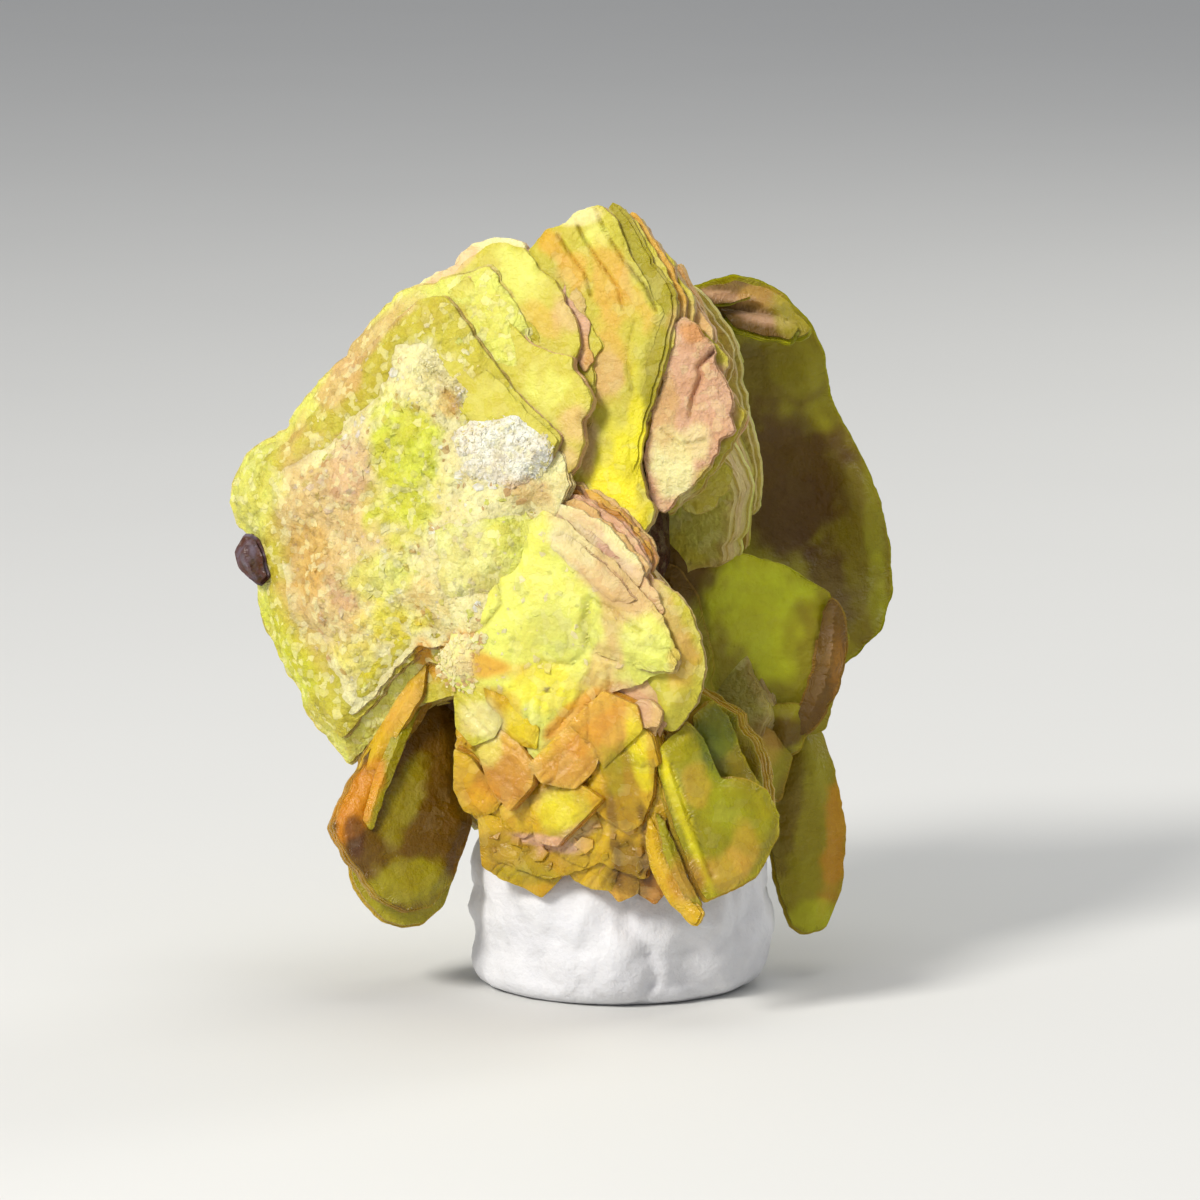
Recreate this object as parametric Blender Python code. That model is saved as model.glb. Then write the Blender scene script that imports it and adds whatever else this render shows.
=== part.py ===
"""A uranocircite rosette: thin tabular crystals grown together, standing in a pellet of white mounting putty.

Lengths are millimetres until the last step, which scales each mesh to metres.
Outlines are drawn as the specimen is seen from the front, in a display plane that leans back by DISPLAY_TILT:
u runs to the right and v upwards from the middle of the display, and w runs away from the viewer.
The row frame has +Z up, the viewer on the -Y side, and its origin in the middle of the putty's foot.
"""

import math
import random

import bmesh
import bpy
from mathutils import Matrix, Vector, noise

MM = 0.001

# How the display plane stands to the foot of the putty.
DISPLAY_TILT = math.radians(9.0)
VIEW_DISTANCE = 150.0
FOOT_ON_DISPLAY = (0.36, -7.58)
FOOT_DEPTH = 0.7

# The putty pellet.
PUTTY_RADIUS = 3.05
PUTTY_RIM_HEIGHT = 2.45
PUTTY_SHOULDER = 0.7
PUTTY_CROWN_HEIGHT = 3.5
PUTTY_CROWN_REACH = 0.35
PUTTY_FOOT_ROUNDING = 0.3
PUTTY_LOBES = 7
PUTTY_LOBE_DEPTH = 0.05
PUTTY_SIDES = 36
CONTACT_GAP = 0.3

# The front family of sheets lies parallel to one gently bowed surface, nearest to the viewer at the crest.
FRONT_CREST_DEPTH = -4.7
FRONT_SLOPE = -0.40
FRONT_BOW_U = 0.015
FRONT_BOW_V = 0.018
CREST = (-0.5, 2.0)

# How the faces of the broad sheets swell and sink, and how far apart the swellings are.
RELIEF = 0.13
RELIEF_SPACING = 1.5

# The hidden middle in which the crystals root.
HEART_MIDDLE = (-1.6, 1.0, -0.6)
HEART_HALF_SIZE = (3.1, 3.8, 2.6)

RIGHT = Vector((1.0, 0.0, 0.0))
UP = Vector((0.0, math.sin(DISPLAY_TILT), math.cos(DISPLAY_TILT)))
AWAY = Vector((0.0, math.cos(DISPLAY_TILT), -math.sin(DISPLAY_TILT)))
FOOT_SPREAD = 1.0 + FOOT_DEPTH / VIEW_DISTANCE
DISPLAY_MIDDLE = -FOOT_SPREAD * (FOOT_ON_DISPLAY[0] * RIGHT + FOOT_ON_DISPLAY[1] * UP) - FOOT_DEPTH * AWAY

CRYSTAL_COLOUR = (0.72, 0.66, 0.16, 1.0)
PUTTY_COLOUR = (0.86, 0.86, 0.88, 1.0)


def place(point):
    """The row-frame point, in millimetres, of a display point (u, v, w)."""
    u, v, w = point
    spread = 1.0 + w / VIEW_DISTANCE
    return DISPLAY_MIDDLE + (u * RIGHT + v * UP) * spread + w * AWAY


def front_depth(u, v):
    """Depth of the front family's outermost surface at a display point."""
    du, dv = u - CREST[0], v - CREST[1]
    return FRONT_CREST_DEPTH + FRONT_SLOPE * u + FRONT_BOW_U * du * du + FRONT_BOW_V * dv * dv


def middle_of(outline):
    return (
        sum(u for u, _ in outline) / len(outline),
        sum(v for _, v in outline) / len(outline),
    )


def shrunk(outline, share, shift=(0.0, 0.0)):
    """The outline drawn in towards its own middle, then moved."""
    uc, vc = middle_of(outline)
    return [(uc + (u - uc) * share + shift[0], vc + (v - vc) * share + shift[1]) for u, v in outline]


class Plate:
    """A plate whose face towards the viewer is flat, bowed or lumpy, with its thickness behind that face."""

    RING_SHARES = (1.0, 0.68, 0.34)

    def __init__(self, outline, depth, lean, thickness, bow=0.0, relief=0.0):
        self.outline = outline
        self.middle = middle_of(outline)
        self.depth = depth
        self.lean = lean
        self.thickness = thickness
        self.bow = bow
        self.relief = relief

    def surface(self, u, v):
        du, dv = u - self.middle[0], v - self.middle[1]
        swell = noise.noise(Vector((u, v, self.depth)) / RELIEF_SPACING)
        flat = self.depth + self.lean[0] * du + self.lean[1] * dv
        return flat + self.bow * (du * du + dv * dv) + self.relief * swell

    def backwards(self):
        """The unit direction, in display coordinates, in which the thickness runs."""
        return Vector((-self.lean[0], -self.lean[1], 1.0)).normalized()

    def mesh(self):
        shares = self.RING_SHARES if self.bow or self.relief else self.RING_SHARES[:1]
        return closed_plate([self.ring(share) for share in shares], self.backwards() * self.thickness)

    def ring(self, share):
        return [Vector((u, v, self.surface(u, v))) for u, v in shrunk(self.outline, share)]


def on_front(outline, step, thickness, bow=0.0, relief=0.0):
    """A sheet parallel to the front family's surface and step behind it."""
    u, v = middle_of(outline)
    lean = (
        FRONT_SLOPE + 2.0 * FRONT_BOW_U * (u - CREST[0]),
        2.0 * FRONT_BOW_V * (v - CREST[1]),
    )
    return Plate(outline, front_depth(u, v) + step, lean, thickness, bow, relief)


def closed_plate(rings, offset):
    """A closed plate from rings of display points, rim first, and the offset to its other face."""
    bm = bmesh.new()
    loops = [[bm.verts.new(point) for point in ring] for ring in rings]
    for outer, inner in zip(loops, loops[1:]):
        for i in range(len(outer)):
            j = (i + 1) % len(outer)
            bm.faces.new((outer[i], outer[j], inner[j], inner[i]))
    bm.faces.new(loops[-1])
    made = bmesh.ops.extrude_face_region(bm, geom=list(bm.faces))
    moved = [item for item in made["geom"] if isinstance(item, bmesh.types.BMVert)]
    bmesh.ops.translate(bm, verts=moved, vec=offset)
    for vert in bm.verts:
        vert.co = place(vert.co)
    bmesh.ops.recalc_face_normals(bm, faces=bm.faces)
    bmesh.ops.triangulate(bm, faces=bm.faces)
    return bm


class Tablet:
    """A tabular crystal that faces any way: an oblong with straight cut corners and a ragged rim."""

    CORNERS = 13
    SQUARENESS = 0.30
    RAGGEDNESS = 0.11

    def __init__(self, centre, facing, half_size, thickness, twist=0.0, seed=0):
        self.centre = Vector(centre)
        self.facing = Vector(facing).normalized()
        self.half_size = half_size
        self.thickness = thickness
        self.twist = math.radians(twist)
        self.chance = random.Random(seed)

    def rim(self):
        """Rim points in the tablet's own plane, for a half size of 1."""
        points = []
        for corner in range(self.CORNERS):
            angle = 2.0 * math.pi * (corner + self.chance.uniform(-0.3, 0.3)) / self.CORNERS
            reach = 1.0 + self.SQUARENESS * abs(math.sin(2.0 * angle)) ** 3
            reach *= 1.0 + self.chance.uniform(-self.RAGGEDNESS, self.RAGGEDNESS)
            points.append((reach * math.cos(angle), reach * math.sin(angle)))
        return points

    def mesh(self):
        across = Vector((0.0, 1.0, 0.0)).cross(self.facing).normalized()
        along = self.facing.cross(across)
        turn = Matrix.Rotation(self.twist, 3, self.facing)
        across, along = turn @ across, turn @ along
        half_u, half_v = self.half_size
        points = [self.centre + across * half_u * a + along * half_v * b for a, b in self.rim()]
        return closed_plate([points], -self.facing * self.thickness)


BOOK_OVERLAP = 0.1
BOOK_SLIP = 0.22
BOOK_GROWTH = 0.07


def book(centre, facing, half_size, thicknesses, twist=0.0, seed=0):
    """Tablets stacked inwards from the outermost one, each a little wider and slipped to one side."""
    centre, facing = Vector(centre), Vector(facing).normalized()
    chance = random.Random(seed)
    tablets, sunk = [], 0.0
    for layer, thickness in enumerate(thicknesses):
        grown = 1.0 + BOOK_GROWTH * layer
        slip = Vector((chance.uniform(-BOOK_SLIP, BOOK_SLIP), chance.uniform(-BOOK_SLIP, BOOK_SLIP), 0.0))
        tablets.append(
            Tablet(
                centre - facing * sunk + slip,
                facing,
                (half_size[0] * grown, half_size[1] * grown),
                thickness + BOOK_OVERLAP,
                twist + chance.uniform(-7.0, 7.0),
                seed=10 * seed + layer,
            )
        )
        sunk += thickness
    return tablets


def front_left_fan():
    """The broad fan on the left, whose sheets step back towards its upper left rim."""
    rim = [
        (-2.3, 6.8), (-3.2, 6.55), (-3.65, 6.3), (-4.0, 6.2), (-4.5, 5.75), (-4.9, 5.25), (-5.4, 4.7),
        (-5.8, 4.2), (-6.25, 3.75), (-6.35, 3.4), (-6.8, 3.2), (-7.15, 2.9), (-7.4, 2.4), (-7.48, 1.95),
        (-7.35, 1.55), (-7.1, 1.2), (-6.95, 0.1), (-6.8, -0.5), (-6.55, -1.0), (-6.3, -1.5),
        (-6.05, -1.85), (-6.0, -2.2), (-5.6, -2.7), (-5.1, -3.28), (-4.6, -2.75), (-4.1, -2.0),
        (-3.6, -1.2), (-2.0, -1.6), (-0.6, -1.2), (-0.7, 1.6), (-0.6, 4.0), (-1.2, 6.0),
    ]
    second = [
        (-2.9, 6.3), (-3.5, 6.0), (-4.0, 5.6), (-4.4, 5.2), (-4.9, 4.8), (-5.3, 4.3), (-5.6, 3.95),
        (-6.0, 3.5), (-6.4, 3.05), (-6.8, 2.7), (-7.0, 2.2), (-6.95, 1.6), (-6.7, 0.8), (-6.5, 0.0),
        (-6.2, -0.8), (-5.8, -1.5), (-5.3, -2.1), (-4.9, -2.3), (-4.2, -1.7), (-3.7, -1.0),
        (-1.8, -1.4), (-0.6, -0.6), (-0.6, 1.4), (-0.8, 4.2), (-1.9, 6.0),
    ]
    third = [
        (-3.4, 5.3), (-4.0, 5.0), (-4.5, 4.6), (-5.0, 4.1), (-5.4, 3.6), (-5.8, 3.0), (-6.05, 2.2),
        (-6.0, 1.3), (-5.8, 0.4), (-5.3, -0.4), (-4.8, -0.8), (-4.0, -0.5), (-3.2, -0.8), (-1.6, -1.2),
        (-0.8, -0.4), (-0.8, 1.5), (-0.6, 2.6), (-1.3, 3.6), (-2.0, 4.3), (-2.7, 5.0),
    ]
    crest = [
        (-3.2, 4.7), (-3.7, 4.5), (-4.1, 3.9), (-4.4, 3.2), (-4.7, 2.2), (-4.6, 1.2), (-4.0, 0.6),
        (-3.2, 0.4), (-2.2, 0.3), (-1.5, 0.8), (-1.2, 1.7), (-1.1, 2.4), (-1.6, 3.2), (-2.3, 4.0),
    ]
    deep = [
        (-2.6, 5.9), (-3.8, 5.3), (-4.8, 4.3), (-5.6, 3.2), (-6.3, 2.3), (-6.5, 1.3), (-6.2, 0.0),
        (-5.7, -1.1), (-5.0, -2.0), (-4.0, -2.2), (-2.4, -1.8), (-0.8, -1.2), (-0.7, 1.4),
        (-0.7, 4.2), (-1.4, 5.6),
    ]
    return [
        on_front(rim, 0.75, 0.4, bow=0.012),
        on_front(second, 0.45, 0.4, bow=0.012),
        on_front(third, 0.2, 0.5, relief=1.5 * RELIEF),
        on_front(crest, 0.0, 0.5, relief=2.0 * RELIEF),
        on_front(deep, 1.1, 0.8),
        on_front(shrunk(deep, 0.95, (-0.1, 0.1)), 1.85, 0.8),
        on_front(shrunk(deep, 0.88, (0.1, 0.2)), 2.6, 0.9),
    ]


def front_left_flakes():
    """Flakes that stand proud of the fan's face: the pale druse, its upper neighbour, and small scales."""
    druse = [
        (-3.14, 3.2), (-2.7, 3.6), (-2.0, 3.7), (-1.6, 3.6), (-1.2, 3.2), (-1.1, 2.8), (-1.4, 2.4),
        (-1.8, 2.1), (-2.4, 2.1), (-3.0, 2.6),
    ]
    upper = [
        (-4.1, 4.9), (-3.7, 5.1), (-3.3, 5.15), (-3.0, 4.75), (-2.76, 4.3), (-2.7, 3.95), (-3.1, 4.1),
        (-3.6, 4.5),
    ]
    lower = [
        (-3.3, 1.9), (-2.4, 1.75), (-1.7, 1.55), (-1.5, 0.9), (-1.8, 0.2), (-2.6, -0.1), (-3.3, 0.2),
        (-3.6, 1.0),
    ]
    scales = [
        [(-5.1, 2.9), (-4.6, 2.7), (-4.5, 2.2), (-4.9, 1.9), (-5.3, 2.3)],
        [(-5.4, 1.5), (-4.9, 1.6), (-4.6, 1.2), (-4.8, 0.7), (-5.3, 0.8)],
        [(-5.5, 0.2), (-4.9, 0.4), (-4.4, 0.1), (-4.7, -0.5), (-5.3, -0.4)],
        [(-3.8, -0.2), (-3.2, 0.0), (-2.8, -0.4), (-3.2, -0.9), (-3.7, -0.7)],
    ]
    return [
        on_front(druse, -0.2, 0.6),
        on_front(upper, -0.05, 0.5),
        on_front(lower, -0.12, 0.5, relief=RELIEF),
    ] + [on_front(scale, 0.02, 0.4) for scale in scales]


def upper_plates():
    """Smooth plates between the fan and the upper stack, stepping down to the right."""
    lower = [
        (-3.2, 5.9), (-2.7, 6.5), (-2.0, 5.8), (-1.6, 5.2), (-1.1, 5.0), (-0.7, 4.9), (-0.5, 4.6),
        (-0.2, 4.1), (-0.35, 3.85), (-0.4, 3.3), (-0.3, 2.9), (-0.8, 2.7), (-1.1, 3.3), (-1.9, 4.1),
        (-2.6, 4.9), (-3.2, 5.4),
    ]
    upper = [
        (-3.1, 6.6), (-2.7, 7.0), (-2.4, 7.2), (-1.9, 7.2), (-1.6, 7.0), (-1.2, 6.6), (-0.8, 6.1),
        (-0.5, 5.6), (-0.35, 5.1), (-0.55, 4.8), (-0.3, 4.4), (-0.2, 4.0), (-1.0, 3.9), (-2.0, 4.8),
    ]
    ragged = [
        (-1.5, 7.0), (-1.2, 6.75), (-0.8, 6.6), (-0.45, 6.25), (-0.28, 6.0), (-0.34, 5.7),
        (-0.16, 5.4), (-0.06, 5.1), (0.08, 5.08), (-0.04, 4.88), (-0.25, 4.7), (-1.0, 4.6),
        (-1.8, 5.6),
    ]
    return [
        on_front(lower, 0.25, 0.45),
        on_front(upper, 0.5, 0.45),
        on_front(ragged, 0.8, 0.4),
    ]


def upper_stack():
    """The stack of sheets at the top, cut off on the right so that the edges of its layers show."""
    shoulder = [
        (-1.5, 7.05), (-1.1, 7.4), (-0.7, 7.55), (-0.4, 7.2), (-0.2, 6.8), (-0.16, 6.35), (-0.3, 6.1),
        (-0.8, 6.4), (-1.2, 6.7),
    ]
    face = [
        (-1.45, 7.0), (-1.05, 7.4), (-0.75, 7.55), (-0.55, 7.75), (-0.3, 7.9), (0.1, 7.85), (0.35, 7.5),
        (0.8, 6.75), (1.2, 6.0), (1.3, 5.7), (1.1, 5.3), (0.95, 4.8), (1.0, 4.45), (0.8, 4.0),
        (0.72, 3.4), (0.82, 2.8), (0.9, 2.3), (1.08, 1.8), (0.9, 1.4), (0.7, 1.12), (0.4, 1.25),
        (0.1, 1.5), (-0.2, 1.85), (-0.5, 2.1), (-0.8, 3.0), (-1.0, 5.0),
    ]
    # The right-hand rims of the layers behind the face, each with how far behind the front surface it lies.
    stepped_rims = [
        (1.25, [(0.4, 7.8), (0.8, 7.2), (1.15, 6.6), (1.45, 6.0), (1.6, 5.6), (1.3, 5.0), (1.0, 4.4),
                (0.8, 3.2), (0.7, 2.0)]),
        (1.6, [(0.85, 7.65), (1.05, 7.2), (1.35, 6.6), (1.7, 6.0), (1.95, 5.5), (1.6, 5.0), (1.2, 4.2),
               (1.0, 3.0), (0.8, 2.2)]),
        (2.0, [(1.1, 7.2), (1.4, 6.9), (1.6, 6.4), (1.85, 5.95), (2.05, 5.6), (2.2, 5.1), (1.9, 4.4),
               (1.5, 3.6), (0.9, 2.8)]),
    ]
    plates = [on_front(shoulder, 0.95, 0.4), on_front(face, 1.1, 0.4)]
    for step, rim in stepped_rims:
        top = [(-0.5, 7.3 - 0.35 * step), (0.0, 7.9 - 0.12 * step)]
        foot = [(0.2, 2.2), (-0.6, 2.6)]
        plates.append(on_front(top + rim + foot, step, 0.38))
    back = [
        (-0.8, 6.3), (0.2, 6.9), (1.0, 6.7), (1.5, 6.2), (1.8, 5.4), (1.8, 4.4), (1.4, 3.4), (0.9, 2.6),
        (-0.6, 2.4),
    ]
    return plates + [
        on_front(back, 2.35, 0.8),
        on_front(shrunk(back, 0.93, (-0.1, -0.1)), 3.05, 1.0),
    ]


def rose_plate():
    """The stained plate right of the stack, with a paler sheet under it."""
    face = [
        (1.65, 5.65), (1.9, 5.6), (2.1, 5.35), (2.25, 5.0), (2.3, 4.75), (2.65, 4.35), (2.8, 3.85),
        (2.65, 3.3), (2.35, 2.85), (2.1, 2.55), (1.75, 2.2), (1.45, 1.9), (1.25, 1.78), (1.1, 2.0),
        (0.95, 2.4), (0.88, 2.9), (0.95, 3.4), (1.1, 3.9), (1.2, 4.5), (1.35, 5.2),
    ]
    under = [
        (1.9, 5.6), (2.2, 5.5), (2.5, 5.0), (2.56, 4.8), (2.42, 4.6), (2.7, 4.2), (2.9, 3.75),
        (2.88, 3.45), (2.7, 3.25), (2.3, 2.75), (1.9, 2.4), (1.2, 2.8), (1.2, 4.4),
    ]
    chip = [
        (1.6, 2.0), (2.0, 2.6), (2.5, 3.0), (2.64, 2.6), (2.56, 2.1), (2.24, 1.8), (1.9, 1.7), (1.7, 1.8),
    ]
    root = [(0.6, 5.4), (1.6, 5.6), (2.1, 4.6), (2.2, 3.4), (1.6, 2.6), (0.4, 2.6)]
    return [
        Plate(face, -3.9, (-0.12, 0.05), 0.4, relief=RELIEF),
        Plate(under, -3.55, (-0.12, 0.05), 0.4),
        Plate(chip, -2.6, (0.1, -0.2), 0.5),
        Plate(root, -3.25, (-0.2, 0.0), 1.6),
    ]


def lower_fan():
    """The fan below the crevice: a smooth rounded plate over a stack that shows its edge on the right."""
    face = [
        (-1.0, 1.6), (-0.6, 1.3), (0.0, 0.8), (0.5, 0.4), (0.9, -0.1), (1.3, -0.6), (1.5, -1.0),
        (1.46, -1.35), (1.1, -1.5), (0.6, -1.5), (0.4, -1.8), (0.0, -2.1), (-0.5, -2.5), (-1.1, -2.9),
        (-1.6, -2.8), (-2.2, -2.2), (-2.8, -1.7), (-3.4, -1.0), (-3.6, 0.0), (-2.6, 1.2), (-1.8, 1.5),
    ]
    rolled = [
        (-0.7, 1.6), (0.0, 1.05), (0.6, 0.6), (1.1, 0.2), (1.6, 0.04), (1.8, -0.4), (1.95, -1.0),
        (2.02, -1.4), (1.95, -1.9), (1.7, -2.4), (1.3, -2.9), (1.0, -2.7), (0.4, -2.4), (-1.0, -2.4),
    ]
    second = [
        (-0.5, 1.55), (0.3, 1.2), (1.2, 0.3), (1.65, -0.2), (1.8, -0.9), (1.8, -1.6), (1.5, -2.3),
        (1.1, -2.8), (0.2, -2.8), (-1.6, -2.4),
    ]
    ledge = [(0.7, -1.3), (1.25, -1.8), (1.1, -2.2), (0.8, -2.5), (0.55, -2.3), (0.3, -2.0)]
    return [
        on_front(face, 0.1, 0.4, relief=RELIEF),
        on_front(ledge, 0.35, 0.35),
        on_front(rolled, 0.6, 0.4),
        on_front(second, 0.95, 0.5),
        on_front(shrunk(second, 0.92, (-0.1, 0.1)), 1.4, 0.7),
        on_front(shrunk(second, 0.85, (-0.2, 0.0)), 2.0, 1.0),
    ]


def lower_tablets():
    """Small blocky tablets that hang between the lower fan and the putty."""
    upper_left = [
        (-2.9, -1.8), (-2.6, -1.6), (-1.6, -2.0), (-1.1, -2.9), (-1.4, -3.3), (-1.9, -4.0),
        (-2.4, -4.25), (-2.85, -3.95), (-2.9, -3.2),
    ]
    brown_block = [(-2.4, -3.1), (-1.75, -2.6), (-1.3, -3.3), (-1.9, -3.95)]
    corner_block = [(-2.8, -3.3), (-2.3, -3.2), (-1.95, -3.9), (-2.4, -4.2), (-2.8, -3.95)]
    middle = [
        (-1.4, -3.3), (-0.8, -2.9), (0.0, -2.3), (0.3, -2.6), (0.0, -3.4), (-0.3, -3.8), (-0.8, -4.0),
        (-1.2, -3.8), (-1.6, -3.6),
    ]
    lower_middle = [
        (-2.1, -3.9), (-1.4, -3.5), (-0.8, -3.8), (-0.2, -3.7), (0.0, -4.0), (-0.5, -4.5), (-1.0, -4.9),
        (-1.6, -4.6), (-2.2, -4.45),
    ]
    lower_right = [
        (-0.85, -4.75), (-0.2, -4.25), (0.0, -4.45), (0.02, -4.9), (-0.2, -5.2), (-0.5, -5.32),
        (-0.9, -5.25), (-1.1, -5.0),
    ]
    lowest = [
        (-2.4, -4.4), (-1.8, -4.6), (-1.0, -4.9), (-0.8, -5.25), (-0.8, -5.6), (-1.2, -5.85),
        (-1.6, -5.65), (-2.0, -5.45), (-2.36, -5.3),
    ]
    small_leaf = [
        (0.0, -3.2), (0.4, -2.8), (0.9, -3.2), (1.0, -3.8), (0.8, -4.3), (0.55, -4.45), (0.2, -4.25),
        (-0.2, -3.8),
    ]
    shaded = [
        (0.0, -4.2), (0.5, -4.4), (0.8, -4.0), (1.0, -4.6), (1.0, -5.4), (0.8, -5.9), (0.45, -5.95),
        (0.15, -5.6), (0.0, -5.0),
    ]
    splinter = [
        (0.95, -2.8), (1.15, -3.4), (1.3, -4.2), (1.5, -5.3), (1.85, -6.1), (1.6, -6.0), (1.25, -5.6),
        (1.05, -5.0), (0.9, -4.2),
    ]
    return [
        on_front(upper_left, 0.45, 1.0),
        on_front(brown_block, 0.25, 0.5),
        on_front(corner_block, 0.32, 0.5),
        on_front(middle, 0.3, 0.8),
        on_front(lower_middle, 0.55, 0.8),
        on_front(lower_right, 0.5, 0.6),
        on_front(lowest, 0.85, 0.8),
        on_front(small_leaf, 0.8, 0.5),
        on_front(shaded, 1.2, 0.6),
        Plate(splinter, -3.9, (-0.5, 0.05), 0.5),
    ]


def lower_leaves():
    """The leaf-shaped tablets at the lower right, and the body that they spring from."""
    leaf = [
        (1.25, -2.8), (1.8, -2.5), (2.2, -3.0), (2.6, -3.5), (3.2, -3.8), (3.45, -4.3), (3.45, -5.0),
        (3.2, -5.5), (2.7, -5.95), (2.25, -6.2), (2.0, -5.6), (1.7, -5.0), (1.45, -4.3), (1.2, -3.6),
    ]
    back_leaf = [
        (1.1, -2.8), (1.3, -3.8), (1.6, -4.6), (2.0, -5.6), (2.15, -6.3), (1.85, -6.46), (1.6, -6.1),
        (1.3, -5.6), (1.15, -4.9), (1.1, -4.0),
    ]
    body = [
        (-2.2, -2.0), (0.8, -1.6), (1.9, -1.8), (2.9, -2.4), (3.5, -3.2), (3.5, -4.2), (3.0, -4.9),
        (1.6, -5.3), (-0.6, -5.1), (-2.0, -4.6),
    ]
    return [
        Plate(leaf, -4.15, (0.22, 0.06), 0.4),
        Plate(back_leaf, -4.3, (-0.35, 0.04), 0.45),
        Plate(body, -3.1, (0.1, 0.1), 1.5),
        Plate(shrunk(body, 0.96, (0.1, 0.1)), -1.7, (0.1, 0.1), 1.8),
    ]


def right_body():
    """The broad sheet low on the right, with the pendant blade behind it."""
    sheet = [
        (0.8, 1.5), (2.0, 1.1), (3.6, 0.7), (4.6, 0.1), (5.0, -0.8), (4.75, -1.7), (4.55, -2.6),
        (3.9, -2.8), (3.5, -3.3), (3.2, -3.7), (2.2, -3.6), (1.6, -2.8), (0.8, -1.5), (0.2, -0.4),
    ]
    knob = [(3.9, -1.3), (4.5, -1.5), (4.66, -2.1), (4.56, -2.8), (4.1, -3.0), (3.5, -2.8), (3.4, -2.1)]
    pendant = [
        (3.7, -2.4), (4.4, -2.3), (4.75, -3.4), (5.0, -4.6), (4.9, -5.7), (4.6, -6.5), (4.25, -6.72),
        (3.9, -6.5), (3.65, -5.8), (3.5, -5.0), (3.4, -4.0),
    ]
    return [
        Plate(sheet, -0.4, (0.12, -0.12), 0.6, relief=RELIEF),
        Plate(shrunk(sheet, 0.96), 0.15, (0.12, -0.12), 0.8),
        Plate(knob, -0.8, (0.2, 0.2), 0.8),
        Plate(pendant, 0.7, (0.25, 0.06), 0.5),
        Plate(shrunk(pendant, 0.88), 1.15, (0.25, 0.06), 0.4),
    ]


SPOON_BOW = -0.085


def rear_blade():
    """The large spoon-shaped blade that stands behind on the right, hooded at the top."""
    spoon = [
        (1.8, 6.2), (2.3, 6.4), (2.7, 6.5), (3.3, 6.35), (3.8, 6.05), (4.25, 5.5), (4.5, 4.9), (4.6, 4.1),
        (4.9, 3.5), (5.3, 2.8), (5.6, 2.0), (5.8, 1.1), (5.84, 0.2), (5.65, -0.55), (5.2, -1.0),
        (4.5, -1.6), (3.4, -1.8), (2.0, -1.2), (1.0, 0.4), (0.6, 2.2), (0.6, 4.0), (1.0, 5.4),
    ]
    hood = [
        (1.8, 6.2), (2.3, 6.4), (2.7, 6.5), (3.3, 6.35), (3.8, 6.05), (4.25, 5.5), (4.05, 5.2),
        (3.4, 5.5), (2.8, 5.6), (2.1, 5.6), (1.5, 5.7),
    ]
    return [
        Plate(spoon, 2.7, (0.1, 0.03), 0.4, bow=SPOON_BOW, relief=RELIEF),
        Plate(hood, 1.0, (0.05, 0.5), 0.5),
        Plate(shrunk(spoon, 0.93), 2.95, (0.1, 0.03), 0.4, bow=SPOON_BOW),
        Plate(shrunk(spoon, 0.8, (-0.1, 0.1)), 3.15, (0.1, 0.03), 0.5, bow=SPOON_BOW),
    ]


def lower_left_blade():
    """The thick blade at the lower left, ridged along its left side."""
    face = [
        (-3.5, -1.2), (-3.2, -1.5), (-2.9, -2.0), (-2.8, -2.8), (-2.75, -3.8), (-2.5, -4.4),
        (-2.65, -4.9), (-2.9, -5.6), (-3.3, -6.1), (-3.8, -6.2), (-4.4, -5.9), (-4.9, -5.2),
        (-5.3, -4.5), (-4.9, -3.6), (-4.4, -2.7), (-3.9, -1.8),
    ]
    wall = [
        (-3.5, -1.0), (-3.6, -1.9), (-4.1, -2.7), (-4.5, -3.6), (-4.8, -4.4), (-4.85, -5.1), (-5.1, -5.0),
        (-5.36, -4.55), (-5.3, -4.15), (-5.0, -3.5), (-4.5, -2.6), (-4.0, -1.8),
    ]
    tip = [
        (-5.0, -5.0), (-4.0, -4.9), (-3.0, -4.8), (-2.9, -5.5), (-3.1, -6.1), (-3.5, -6.45),
        (-3.9, -6.52), (-4.3, -6.4), (-4.6, -6.1), (-4.9, -5.6),
    ]
    return [
        Plate(face, -1.7, (0.35, 0.12), 0.6),
        Plate(shrunk(face, 0.9, (0.1, 0.2)), -1.15, (0.35, 0.12), 0.6),
        Plate(wall, -1.95, (-0.5, 0.1), 0.9),
        Plate(tip, -1.35, (0.1, 0.06), 0.7),
    ]


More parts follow.
